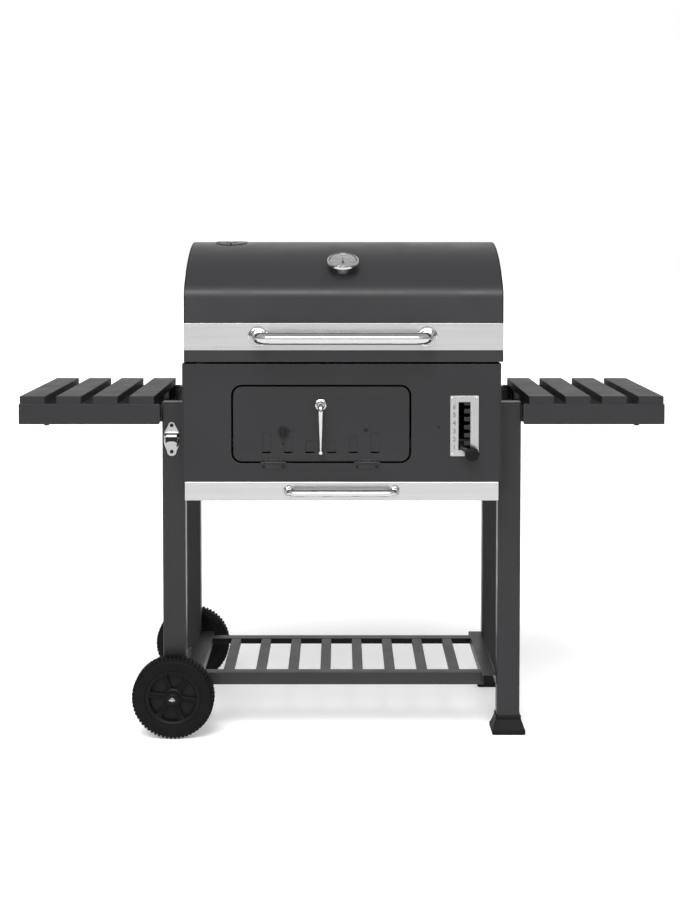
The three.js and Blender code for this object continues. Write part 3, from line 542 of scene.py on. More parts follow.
def make(name, bm, body, look, replaces=()):
    """Turns a bmesh in millimetres into a piece that rides on a body."""
    bmesh.ops.recalc_face_normals(bm, faces=bm.faces)
    bmesh.ops.scale(bm, vec=(MM, MM, MM), verts=bm.verts)
    mesh = bpy.data.meshes.new(name)
    bm.to_mesh(mesh)
    bm.free()
    mesh.shade_smooth()
    mesh.set_sharp_from_angle(angle=SMOOTH_BELOW)
    obj = bpy.data.objects.new(name, mesh)
    bpy.context.scene.collection.objects.link(obj)
    mesh.materials.append(LOOKS[look])
    weighted = obj.modifiers.new("even_normals", "WEIGHTED_NORMAL")
    weighted.keep_sharp = True
    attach(obj, body)
    if replaces:
        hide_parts(*replaces)
    return obj


def keep(node, look, edge=0.4, steps=2):
    """Keeps a CAD node's shape, softens its edges and gives it its material."""
    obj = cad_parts[node]
    obj.data.materials.clear()
    obj.data.materials.append(LOOKS[look])
    weld = obj.modifiers.new("weld", "WELD")
    weld.merge_threshold = 0.00001
    if edge:
        bevel = obj.modifiers.new("soft_edges", "BEVEL")
        bevel.width = edge * MM
        bevel.segments = steps
        bevel.limit_method = "ANGLE"
        bevel.angle_limit = math.radians(38)
        bevel.harden_normals = True
    return obj


def text(name, words, height, centre, right, up, body, look, weight=0.0):
    """Printed figures, as a thin solid on a surface whose directions are right and up."""
    curve = bpy.data.curves.new(name, "FONT")
    curve.body = words
    curve.size = height
    curve.align_x = "CENTER"
    curve.align_y = "CENTER"
    curve.extrude = 0.05
    curve.offset = weight
    curve.resolution_u = 3
    holder = bpy.data.objects.new(name, curve)
    mesh = bpy.data.meshes.new_from_object(holder)
    bpy.data.objects.remove(holder)
    bm = bmesh.new()
    bm.from_mesh(mesh)
    bpy.data.meshes.remove(mesh)
    right, up = Vector(right).normalized(), Vector(up).normalized()
    turn = Matrix((right, up, right.cross(up))).transposed().to_4x4()
    bmesh.ops.transform(bm, matrix=Matrix.Translation(Vector(centre)) @ turn, verts=bm.verts)
    bmesh.ops.remove_doubles(bm, verts=bm.verts, dist=0.001)
    return make(name, bm, body, look)


# ------------------------------------------------------------------ cart


def build_legs():
    """Four folded legs with caps; beside each, a near-black plate of painted shade narrows the gap to the
    shelf.
    """
    rivets, stops = bmesh.new(), bmesh.new()
    cap, plug, shade_plate_low, shade_plate_high = 4.2, 19, 739, 775
    for side_name, side in SIDES:
        for end_name, end in ENDS:
            bm = bmesh.new()
            x, y = side * LEG_X, CART_MIDDLE + end * LEG_Y
            outer = rounded(x - LEG_WIDTH / 2, y - LEG_DEPTH / 2, x + LEG_WIDTH / 2, y + LEG_DEPTH / 2, 4)
            plate(bm, [outer, shrunk(outer, SHEET)], "z", LEG_BOTTOM[side_name], LEG_TOP - cap - 1.2, 0.5)
            plate(bm, [shrunk(outer, 1.2)], "z", LEG_TOP - plug, LEG_TOP - 3, 0.2)
            plate(bm, [outer], "z", LEG_TOP - cap, LEG_TOP, 1.3, 4)
            make(f"leg_tube_{end_name}_{side_name}", bm, "cart", "charcoal_paint",
                 [f"leg_{end_name}_{side_name}"])
            face = LEG_X + LEG_WIDTH / 2
            # Painted shade: a near-black plate that makes the gap between leg and shelf read as dark shade.
            box(stops, span(side, face + 0.2, face + 9.5), (y - 11, y - 9.5), (shade_plate_low, shade_plate_high), 0.3)
            for z in (640, 768):
                rivet(rivets, (side * face, y, z), (side, 0, 0), 4.5, 1.2)
    make("leg_rivets", rivets, "cart", "charcoal_paint")
    make("leg_shade_plates", stops, "cart", "painted_shade")


def build_feet():
    """Flared feet. A level is a height, a width and a depth, from the sole up and into the collar."""
    levels = [(0, 76.5, 66), (1.2, 78.5, 68), (8, 78.5, 68), (9.8, 77.6, 67), (10.6, 75.4, 64.4),
              (20, 68.6, 54), (31, 61.6, 43), (32.4, 60.7, 42), (39.6, 60.2, 41.4), (41, 58.6, 39.8),
              (41, 54.3, 35.6), (34, 54.2, 35.5)]
    for end_name, end in ENDS:
        bm = bmesh.new()
        x, y = LEG_X, CART_MIDDLE + end * LEG_Y
        rings = []
        for z, width, depth in levels:
            outline = rounded(x - width / 2, y - depth / 2, x + width / 2, y + depth / 2, 4.2)
            rings.append([(a, b, z) for a, b in outline])
        skin(bm, rings)
        make(f"foot_{end_name}", bm, "cart", "black_plastic", [f"foot_{end_name}_right"])


def channel_outline(a0, a1, low, high):
    """The section of an upside-down U channel with rounded upper corners."""
    radius = 2.0
    outer = [(a0, low), (a0 + SHEET, low)]
    outer += [(a0 + SHEET, high - SHEET), (a1 - SHEET, high - SHEET), (a1 - SHEET, low), (a1, low)]
    outer += arc(a1 - radius, high - radius, radius, 0, 90, 4)
    outer += arc(a0 + radius, high - radius, radius, 90, 180, 4)
    return outer


def build_rack():
    """Two end bars along the legs, a front and a rear rail between them, and slats from rail to rail."""
    bm = bmesh.new()
    inner = BODY_HALF - 0.2
    rail_half = inner - 32
    bar_half, slat_half, slat_pitch, slat_count = 16.5, 12.5, 77.5, 8
    for side in (-1, 1):
        middle = side * (inner - bar_half)
        plate(bm, [channel_outline(middle - bar_half, middle + bar_half, 113, 136)], "y", -150.5, 191.5, 0.3)
    plate(bm, [channel_outline(-128.5, -105.5, 106, 135.8)], "x", -rail_half, rail_half, 0.3)
    box(bm, (-rail_half, rail_half), (132.8, 159.5), (134.2, 135.7), 0.4)
    for index in range(slat_count):
        x = (index - (slat_count - 1) / 2) * slat_pitch
        plate(bm, [channel_outline(x - slat_half, x + slat_half, 125, 135.1)], "y", -106.5, 136, 0.3)
    make("rack", bm, "cart", "charcoal_paint", ["bottom_rack"])
    # A near-black sheet at the back of the rear rail: painted shade for the rail's dark inside.
    bm = bmesh.new()
    box(bm, (-rail_half, rail_half), (158, 159.5), (113.5, 134.8), 0.4)
    make("rack_rear_painted_shade", bm, "cart", "painted_shade")


def build_wheel(name, y):
    """A moulded wheel: six spokes, a smooth sidewall and a blocky tread."""
    centre = (-LEG_X, y, WHEEL_Z)
    axis = (0, 1, 0)
    tyre = bmesh.new()
    wall = [(61.5, 14), (62.5, 15.6), (64.5, 15.9), (66, 17.4), (70, 18.6), (76, 19.5), (82, 20), (86, 19.9),
            (87.2, 19.2), (89.5, 18.4), (91.4, 16), (92.6, 12.5), (93, 8), (93.2, 3)]
    ring_lathe(tyre, mirrored(wall), centre, axis, 96)
    blocks = 62
    section = [(91, 2.4), (95.4, 2.4), (96, 3), (96, 12), (95.4, 14.4), (93.4, 17.4), (91.4, 18.6),
               (90.2, 18), (90, 12)]
    for row in (-1, 1):
        for index in range(blocks):
            angle = 2 * math.pi * (index + (0.5 if row > 0 else 0)) / blocks
            out = Vector((math.cos(angle), 0, math.sin(angle)))
            along = Vector((-math.sin(angle), 0, math.cos(angle)))
            rings = []
            for shift, inset in ((-2.9, 0.5), (-2.4, 0.0), (2.4, 0.0), (2.9, 0.5)):
                rings.append([
                    Vector(centre) + out * (r - inset) + Vector((0, row * (h - inset * 0.5), 0))
                    + along * shift for r, h in section])
            skin(tyre, rings)
    make(f"tyre_{name}", tyre, f"wheel_{name}", "tyre")

    rim = bmesh.new()
    ring_lathe(rim, [(16, -1.5), (57, -1.5), (57, 1.5), (16, 1.5)], centre, axis, 64)
    ring_lathe(rim, mirrored([(54.5, 8.5), (56, 12.5), (59.5, 15), (62.4, 15)]), centre, axis, 96)
    hub = [(7, 20.5), (12, 20.9), (15.2, 20.3), (16.6, 18.4), (17.4, 12), (21.5, 9.6), (22, 8)]
    ring_lathe(rim, mirrored(hub), centre, axis, 64)
    spoke = ((18, 7.8, 9.2), (24, 5.8, 9.4), (40, 5.7, 9.8), (51, 6.6, 11), (58, 9.5, 13))
    spokes, first = 6, 8
    for index in range(spokes):
        angle = math.radians(first + 360 / spokes * index)
        out = Vector((-math.cos(angle), 0, math.sin(angle)))
        along = Vector((math.sin(angle), 0, math.cos(angle)))
        rings = []
        for reach, half, high in spoke:
            section = [(-half, -high + 2.4), (-half + 2.2, -high), (-half * 0.34, -high)]
            section += [(-half * 0.2, -high + 1.6), (half * 0.2, -high + 1.6)]
            section += [(half * 0.34, -high), (half - 2.2, -high), (half, -high + 2.4)]
            section += [(-a, -b) for a, b in section]
            rings.append([Vector(centre) + out * reach + along * a + Vector((0, b, 0)) for a, b in section])
        skin(rim, rings)
    make(f"rim_{name}", rim, f"wheel_{name}", "black_plastic", [f"wheel_{name}"])


def build_wheels():
    """The two wheels, their axle with washers against the legs, and hub caps with pins."""
    for name, end in ENDS:
        build_wheel(name, CART_MIDDLE + end * WHEEL_Y)
    bm = bmesh.new()
    reach = WHEEL_Y + 21.3
    rod(bm, (-LEG_X, CART_MIDDLE - reach - 4, WHEEL_Z), (-LEG_X, CART_MIDDLE + reach + 4, WHEEL_Z), 6, 1.2)
    caps = bmesh.new()
    for end in (-1, 1):
        face = (-LEG_X, CART_MIDDLE + end * reach, WHEEL_Z)
        lathe(caps, [(0, 0), (12, 0), (12.6, 0.6), (12.4, 2.2), (10.6, 3.6), (7.4, 4.2), (7, 3.8), (0, 3.6)],
              face, (0, end, 0), 48)
        pin_y = face[1] + end * 4.4
        tube(bm, [(-LEG_X - 7, pin_y, WHEEL_Z - 1), (-LEG_X + 7, pin_y, WHEEL_Z - 1)], 1.7, 20)
    make("hub_caps", caps, "cart", "black_plastic")
    for end in (-1, 1):
        inner = CART_MIDDLE + end * (LEG_Y + LEG_DEPTH / 2)
        lathe(bm, [(0, 0), (9.5, 0), (9.5, 1.2), (0, 1.2)], (-LEG_X, inner, WHEEL_Z), (0, end, 0), 32)
    make("axle", bm, "cart", "galvanised", ["wheel_axle"])


def build_opener():
    """A pressed-steel bottle opener: a leaf-shaped plate with a raised hood over its mouth."""
    x_middle, base_y = -LEG_X - 4, CART_MIDDLE - LEG_Y - LEG_DEPTH / 2 - 0.2
    screw_heights = (731, 669)
    top_z, shoulder_z, belly_z, foot_z = 731, 704, 694, 669.5
    top, belly, foot = 7.5, 18.5, 11.0

    def half_width(z):
        if z > top_z:
            return math.sqrt(max(0.0, top ** 2 - (z - top_z) ** 2))
        if z > shoulder_z:
            share = (top_z - z) / (top_z - shoulder_z)
            return top + (belly - top) * math.sin(math.radians(90 * share))
        if z > belly_z:
            return belly
        if z > foot_z:
            share = (belly_z - z) / (belly_z - foot_z)
            return foot + (belly - foot) * math.cos(math.radians(90 * share)) ** 1.2
        return math.sqrt(max(0.0, foot ** 2 - (z - foot_z) ** 2))

    def step(value, low, high):
        t = min(1.0, max(0.0, (value - low) / (high - low)))
        return t * t * (3 - 2 * t)

    def bulge(u, z):
        """How far the sheet stands forward, u across from -1 to 1."""
        across = 1 - step(abs(u), 0.66, 1.0)
        hood = (1 - step(z, 705.5, 716)) * step(z, 701, 702)
        tongue = step(z, 676, 692) * (1 - step(z, 699, 700)) * 0.74
        return 1.6 + 7.2 * across * max(hood, tongue)

    bm = bmesh.new()
    rows, columns = 100, 36
    heights = [foot_z - foot + (top_z + top - foot_z + foot) * i / rows for i in range(rows + 1)]
    grid = []
    for z in heights:
        row = []
        for i in range(columns + 1):
            u = -1 + 2 * i / columns
            row.append(bm.verts.new((x_middle + u * max(0.05, half_width(z)), base_y - bulge(u, z), z)))
        grid.append(row)
    for i in range(rows):
        for j in range(columns):
            u = -1 + 2 * (j + 0.5) / columns
            z = (heights[i] + heights[i + 1]) / 2
            lower_lip = 689.5 + 4.5 * (1 - (u / 0.78) ** 2)
            if abs(u) < 0.78 and lower_lip < z < shoulder_z:
                continue
            near_screw = min(math.hypot(u * half_width(z), z - hole) for hole in screw_heights)
            if near_screw < 3:
                continue
            bm.faces.new((grid[i][j], grid[i][j + 1], grid[i + 1][j + 1], grid[i + 1][j]))
    loose = [v for v in bm.verts if not v.link_faces]
    bmesh.ops.delete(bm, geom=loose, context="VERTS")
    bmesh.ops.recalc_face_normals(bm, faces=bm.faces)
    if sum(f.normal.y for f in bm.faces) > 0:
        bmesh.ops.reverse_faces(bm, faces=bm.faces)
    inner = {v: bm.verts.new(v.co - v.normal * 1.5) for v in list(bm.verts)}
    outer_faces = list(bm.faces)
    rim = [e for e in bm.edges if e.is_boundary]
    for face in outer_faces:
        bm.faces.new([inner[v] for v in reversed(face.verts)])
    for e in rim:
        a, b = e.verts
        bm.faces.new((a, b, inner[b], inner[a]))
    make("opener", bm, "cart", "stainless_upright", ["bottle_opener"])
    screws = bmesh.new()
    for z in screw_heights:
        screw(screws, (x_middle, base_y - 0.6, z), (0, -1, 0), 4.6, 2.6)
    make("opener_screws", screws, "cart", "screw_black")


# ------------------------------------------------------------------ side shelves


def build_shelves():
    """Two folded frames, each with four wide slats, two bumpers and two stiffening rails underneath."""
    for side_name, side in SIDES:
        body = f"side_shelf_{side_name}"
        keep(f"shelf_bracket_{side_name}", "dark_steel", 0.3)
        bm = bmesh.new()
        top, bottom, inner_x, outer_x = SHELF_HIGH, SHELF_LOW, SHELF_INNER, SHELF_OUTER
        beam = [(inner_x, bottom + 3), (inner_x + 3, bottom), (outer_x - 3, bottom)]
        beam += arc(outer_x - 3, bottom + 3, 3, -90, 0, 4)[1:]
        beam += [*arc(outer_x - 1.5, top - 1.5, 1.5, 0, 90, 3), (inner_x, top)]
        for y in ((SHELF_FRONT, SHELF_FRONT + SHEET), (SHELF_REAR - SHEET, SHELF_REAR)):
            plate(bm, [[(side * a, b) for a, b in beam]], "y", *y, 0.5)
        for x in ((outer_x - 1.6, outer_x - 0.1), (449, 450.5)):
            box(bm, span(side, *x), (SHELF_FRONT + 0.6, SHELF_REAR - 0.6), (bottom + 0.4, top - 0.4), 0.4)
        for y in ((SHELF_FRONT + 0.7, SHELF_FRONT + 12), (SHELF_REAR - 12, SHELF_REAR - 0.7)):
            box(bm, span(side, inner_x + 9, outer_x - 1), y, (bottom, bottom + 1.4), 0.4)
        for y in (-20, 100):
            box(bm, span(side, 451, outer_x - 2), (y, y + SHEET), (bottom + 1, bottom + 28), 0.4)
        for y in ((SHELF_FRONT + 1, SHELF_FRONT + 12), (SHELF_REAR - 12, SHELF_REAR - 1)):
            bush = [(4.4, y[0]), (7.5, y[0]), (7.5, y[1]), (4.4, y[1])]
            ring_lathe(bm, bush, (side * 440, 0, 745), (0, 1, 0), 32)
        make(f"shelf_tray_{side_name}", bm, body, "charcoal_paint", [f"shelf_frame_{side_name}"])

        bm = bmesh.new()
        for y in (SHELF_FRONT + 14, SHELF_REAR - 14):
            lathe(bm, [(0, -0.5), (7, -0.5), (7, 1.5), (6, 4), (4.2, 5.2), (0, 5.4)],
                  (side * 690, y, bottom + 1), (0, 0, -1), 32)
        make(f"shelf_bumpers_{side_name}", bm, body, "black_plastic")

        slat_low, edge_z, edge = top + 0.3, 799.3, 2.2
        levels = [(1.6, edge_z + 0.1), (1.5, slat_low), (0.6, slat_low), (0, slat_low + 0.6)]
        for turn in range(0, 91, 18):
            t = math.radians(turn)
            levels.append((edge * (1 - math.cos(t)), edge_z + edge * math.sin(t)))
        for index in range(SLAT_COUNT):
            start = SLAT_START + index * SLAT_PITCH
            low, high = span(side, start, start + SLAT_WIDTH)
            outline = rounded(
                low, CART_MIDDLE - SLAT_HALF_LENGTH, high, CART_MIDDLE + SLAT_HALF_LENGTH, 2.6, 5)
            bm = bmesh.new()
            levels_shell(bm, outline, levels)
            slat = make(f"slat_{side_name}_{index + 1}", bm, body, "slat_paint",
                        [f"shelf_slat_{side_name}_{index + 1}"])
            # The slats' sides take the near-black paint: painted shade, a shaded copy of the slat paint on
            # the lit tops.
            slat.data.materials.append(LOOKS["painted_shade"])
            for face in slat.data.polygons:
                if abs(face.normal.x) > 0.9:
                    face.material_index = 1


# ------------------------------------------------------------------ firebox


def comb_outline():
    """The lift's upright channel with six notches to its right, in X and Z."""
    left, right, reach = CHANNEL_X - 6, CHANNEL_X + 6, 296.2
    points = [(left, NOTCH_LOW - 6), (right, NOTCH_LOW - 6)]
    for index in range(NOTCH_COUNT):
        z = NOTCH_LOW + index * NOTCH_PITCH
        points += [(right, z - 4.5), *arc(reach - 4.5, z, 4.5, -90, 90, 8), (right, z + 4.5)]
    top = NOTCH_LOW + (NOTCH_COUNT - 1) * NOTCH_PITCH + 10
    points += [(right, top), (left, top)]
    return points


def build_firebox():
    """The panels with their rivets. Runners, cooking grates and lid hinges keep their CAD shape."""
    bm = bmesh.new()
    outline = rounded(-PANEL_HALF, BODY_BOTTOM, PANEL_HALF, BODY_TOP - 1, 2, 3)
    door = rounded(DOOR_LEFT, DOOR_LOW, DOOR_RIGHT, DOOR_HIGH, DOOR_CORNER, 10)
    plate(bm, [outline, door, comb_outline()], "y", BODY_FRONT, BODY_FRONT + SHEET, 0.35)
    for side in (-1, 1):
        x = span(side, PANEL_HALF - SHEET, PANEL_HALF)
        box(bm, x, (BODY_FRONT + 0.5, BODY_FRONT + 16), (BODY_BOTTOM + 2, BODY_TOP - 3), 0.4)
    ledge = (850.5, 850.5 + SHEET)   # carries the cooking grates
    box(bm, (-PANEL_HALF + 4, PANEL_HALF - 4), (BODY_FRONT + 0.8, BODY_FRONT + 18), ledge, 0.3)
    box(bm, (-PANEL_HALF + 2, PANEL_HALF - 2), (BODY_FRONT + 0.8, BODY_FRONT + 9),
        (BODY_BOTTOM + 0.1, BODY_BOTTOM + SHEET), 0.3)
    make("front_panel", bm, "cart", "charcoal_paint", ["firebox_front"])

    bm = bmesh.new()
    skirt = rounded(-PANEL_HALF, 576, PANEL_HALF, BODY_TOP - 1, 2, 3)
    plate(bm, [skirt], "y", BODY_BACK - SHEET, BODY_BACK, 0.35)
    box(bm, (-PANEL_HALF + 4, PANEL_HALF - 4), (BODY_BACK - 18, BODY_BACK - 0.8), ledge, 0.3)
    make("back_panel", bm, "cart", "charcoal_paint", ["firebox_back"])
    side_face = BODY_HALF - 0.1
    for side_name, side in SIDES:
        bm = bmesh.new()
        x = span(side, PANEL_HALF + 0.3, side_face)
        plate(bm, [rounded(BODY_FRONT + 1, BODY_BOTTOM, BODY_BACK - 1, BODY_TOP, 3, 4)], "x", *x, 0.6)
        make(f"side_panel_{side_name}", bm, "cart", "charcoal_paint", [f"firebox_side_{side_name}"])
        keep(f"drawer_runner_{side_name}", "galvanised", 0.2, 1)
        keep(f"cooking_grate_{side_name}", "cast_iron", 1.0, 2)
        keep(f"lid_hinge_base_{side_name}", "dark_steel", 0.4)
        keep(f"lid_hinge_strap_{side_name}", "dark_steel", 0.4)

    bm = bmesh.new()
    for x in (-352, -176, 0, 176, 352):
        for z in (622, 868):
            rivet(bm, (x, BODY_BACK, z), (0, 1, 0), 3.2, 1.2)
    for side in (-1, 1):
        for y in (-186, 120, 250):
            for z in (626, 862):
                rivet(bm, (side * side_face, y, z), (side, 0, 0), 3.2, 1.2)
    make("body_rivets", bm, "cart", "charcoal_paint")
    bm = bmesh.new()
    rivet(bm, (222.8, BODY_FRONT, 735), (0, -1, 0), 3.6, 1.4)
    make("front_stud", bm, "cart", "screw_black")


def build_scale():
    """The stainless plate round the notches, with a figure beside each notch."""
    bm = bmesh.new()
    plate(bm, [rounded(250, 667.3, 315.3, 806.7, 2, 4), rounded(268.6, 681.2, 296.4, 792.6, 1.2, 4)], "y",
          BODY_FRONT - 1.1, BODY_FRONT - 0.05, 0.3)
    make("height_plate", bm, "cart", "stainless_upright", ["height_scale"])
    for index in range(NOTCH_COUNT):
        z = NOTCH_LOW + index * NOTCH_PITCH
        place = (259.3, BODY_FRONT - 1.15, z)
        text(f"height_figure_{index + 1}", str(index + 1), 15, place, (1, 0, 0), (0, 0, 1), "cart",
             "scale_ink", weight=0.35)
    bm = bmesh.new()
    for x in (254.6, 310.8):
        for z in (671.8, 802.2):
            rivet(bm, (x, BODY_FRONT - 1, z), (0, -1, 0), 1.9, 0.8)
    make("height_rivets", bm, "cart", "chrome")


# ------------------------------------------------------------------ charcoal door


def build_door():
    """The charcoal door's pan with its air slots and hinge knuckles, and the damper behind the slots."""
    left, right = DOOR_LEFT + DOOR_GAP, DOOR_RIGHT - DOOR_GAP
    low, high = DOOR_LOW + DOOR_GAP, DOOR_HIGH - DOOR_GAP
    outline = rounded(left, low, right, high, DOOR_CORNER - DOOR_GAP, 12)
    bm = bmesh.new()
    front = BODY_FRONT
    levels = [(1.6, front + 12), (0.5, front + 12), (0, front + 11.5), (0, front + 1.9), (0.15, front + 1.2),
              (0.6, front + 0.5), (1.2, front + 0.1), (2.0, front), (2.6, front), (2.6, front + 1.5),
              (1.6, front + 1.5)]
    rings = [[bm.verts.new((a, y, b)) for a, b in shrunk(outline, inset)] for inset, y in levels]
    for ring, following in zip(rings, rings[1:] + rings[:1]):
        bridge(bm, ring, following)
    centre = [shrunk(outline, 1.9)]
    for index, x in enumerate(SLOT_MIDDLES):
        top = 703 + 9.5 * (abs(index - 2.5) - 0.5)
        centre.append(rounded(x - SLOT_HALF, 674, x + SLOT_HALF, top, SLOT_CORNER, 4))
    centre.append(rounded(KNOB_X - 4.5, KNOB_Z - 4, KNOB_X + 29.5, KNOB_Z + 4, 3, 4))
    plate(bm, centre, "y", front + 0.02, front + 1.4, 0.2)
    knuckle_half, knuckle_y, knuckle_z = 20.6, front - 2.9, 652.9
    for x in DOOR_HINGES:
        left, right = x - knuckle_half, x + knuckle_half
        rod(bm, (left, knuckle_y, knuckle_z), (right, knuckle_y, knuckle_z), 2.6, 0.4, 24)
        box(bm, (left, right), (knuckle_y + 1, front + 1), (knuckle_z + 0.5, 660), 0.4)
    make("door_pan", bm, "charcoal_door", "charcoal_paint", ["charcoal_door"])
    bm = bmesh.new()
    # The large stud is black so that it stands in for a dark hole there: painted shade.
    rivet(bm, (56, front + 0.1, 729), (0, -1, 0), 5.6, 2.1)
    rivet(bm, (-136, front + 0.1, 697), (0, -1, 0), 2.9, 1.3)
    for x in DOOR_HINGES:
        for dx in (-13, 13):
            rivet(bm, (x + dx, front - 1.9, 657), (0, -1, 0), 2.1, 0.9)
    make("door_studs", bm, "charcoal_door", "screw_black")

    bm = bmesh.new()
    outline = rounded(-216, 677.5, 95, 735, 2, 3)
    travel = 25
    holes = []
    for x in SLOT_MIDDLES:
        holes.append(rounded(x - travel - SLOT_HALF, 681, x - travel + SLOT_HALF, 703, SLOT_CORNER, 4))
    plate(bm, [outline, *holes], "y", front + 1.8, front + 3, 0.3)
    make("damper_slide", bm, "door_damper", "charcoal_paint", ["door_damper"])
    bm = bmesh.new()
    rod(bm, (KNOB_X, front + 2, KNOB_Z), (KNOB_X, front - 3.4, KNOB_Z), 3, 0.3, 24)
    collar = [(0, 0), (11.6, 0), (12.2, 0.5), (12, 1.5), (9.6, 1.9), (0, 1.9)]
    lathe(bm, collar, (KNOB_X, front - 3, KNOB_Z), (0, -1, 0), 48)
    make("damper_collar", bm, "door_damper", "screw_black")
    bm = bmesh.new()
    levels = [(0, front - 4.6), (0, front - 9.4), (0.5, front - 10.4), (1.6, front - 11)]
    outline = rounded(KNOB_X - 3.6, KNOB_Z - 14.5, KNOB_X + 3.6, KNOB_Z + 6, 3.5, 6)
    skin(bm, [[(a, y, b) for a, b in shrunk(outline, inset)] for inset, y in levels])
    make("damper_tab", bm, "door_damper", "screw_black")

    bm = bmesh.new()
    for x in DOOR_HINGES:
        for dx in (-22.5, 22.5):
            screw(bm, (x + dx, front - 1.7, 643.5), (0, -1, 0), 3.6, 1.9)
    make("door_hinge_screws", bm, "cart", "screw_black")
    for side_name, _ in SIDES:
        keep(f"door_hinge_{side_name}", "charcoal_paint", 0.3)


def build_latch():
    """A chrome lever hanging from a rosette, with a ball at its tip and a catch inside the door."""
    bm = bmesh.new()
    face = BODY_FRONT - 0.2
    rose_profile = [(0, 0), (13.6, 0), (14, 0.6), (13.9, 2.4), (12.6, 4.2), (10.4, 5.2), (8.6, 4.6),
                    (7.4, 3.2), (6.6, 2.6), (6.2, 3), (6, 7), (5.6, 8), (0, 8)]
    lathe(bm, rose_profile, (LATCH_X, face, LATCH_Z), (0, -1, 0), 56)
    lever = [(6, LATCH_Z), (12, LATCH_Z - 0.5), (16.5, LATCH_Z - 5), (18.4, LATCH_Z - 16), (18, 745),
             (17, 715), (15.6, 690), (15, 681)]
    path = smooth_path([(LATCH_X, face - out, z) for out, z in lever])
    radii = []
    for i in range(len(path)):
        share = i / (len(path) - 1)
        swell = math.sin(math.pi * min(1.0, share * 1.25))
        radii.append(3.6 + 2.3 * swell - 1.7 * max(0.0, share - 0.4) / 0.6)
    tube(bm, path, radii)
    ball = [(5.6 * math.sin(math.radians(t)), -5.6 * math.cos(math.radians(t))) for t in range(0, 181, 12)]
    ball[0], ball[-1] = (0, -5.6), (0, 5.6)
    lathe(bm, ball, (LATCH_X, face - 15, 677.5), (0, 0, 1), 40)
    rod(bm, (LATCH_X, BODY_FRONT - 1, LATCH_Z), (LATCH_X, BODY_FRONT + 14.6, LATCH_Z), 4, 0.4, 24)
    box(bm, (LATCH_X - 6, LATCH_X + 6), (BODY_FRONT + 12.3, BODY_FRONT + 14.3), (LATCH_Z - 8, 825.5), 0.4)
    make("latch", bm, "door_latch", "chrome", ["door_latch"])


# ------------------------------------------------------------------ bow handles and drawer


def bow(bm, middle, half, z, base_y, stand, bar, bend):
    """A round bar: out from one foot, across, and back to the other foot."""
    bar_y = base_y - stand
    points = []
    for side, order in ((-1, 1), (1, -1)):
        x = middle + side * half
        part = [Vector((x, base_y - 1, z)), Vector((x, base_y - 4, z))]
        for step in range(13):
            t = math.radians(90 * step / 12)
            part.append(Vector((x - side * bend * (1 - math.cos(t)), bar_y + bend - bend * math.sin(t), z)))
        points += part[::order]
    tube(bm, points, bar, 48)


def rose(bm, x, y, z, radius):
    """The doubled ring under a handle's foot."""
    profile = [(0, 0), (radius - 0.5, 0), (radius, 0.7), (radius, 2.2), (radius * 0.95, 3.3),
               (radius * 0.86, 3.6), (radius * 0.8, 3.0), (radius * 0.76, 2.2), (radius * 0.72, 2.4),
               (radius * 0.68, 4.6), (radius * 0.62, 6.2), (radius * 0.54, 6.8), (0, 6.8)]
    lathe(bm, profile, (x, y, z), (0, -1, 0), 64)


def build_drawer():
    """The ash drawer's folded front and its pull. The tray keeps its CAD shape."""
    bm = bmesh.new()
    low, high, front = DRAWER_LOW, DRAWER_HIGH, BODY_FRONT
    section = [(front + 10, low), (front + 10, low + 1.2), (front + 1.6, low + 1.2)]
    section += [(front + 1.2, low + 1.6), (front + 1.2, high - 1.6), (front + 1.6, high - 1.2)]
    section += [(front + 10, high - 1.2), (front + 10, high)]
    section += arc(front + 1.8, high - 1.8, 1.8, 90, 180, 5) + arc(front + 1.8, low + 1.8, 1.8, 180, 270, 5)
    plate(bm, [section], "x", -DRAWER_HALF, DRAWER_HALF, 0.3)
    make("drawer_face", bm, "ash_drawer", "stainless", ["ash_drawer_front"])
    keep("ash_drawer_tray", "galvanised", 0.3, 1)
    bm = bmesh.new()
    bow(bm, 0, PULL_HALF, PULL_Z, front - 0.2, 31, 7.5, 17)
    for side in (-1, 1):
        rose(bm, side * PULL_HALF, front - 0.1, PULL_Z, 13)
    make("drawer_pull", bm, "ash_drawer", "chrome", ["ash_drawer_handle"])


# ------------------------------------------------------------------ lid


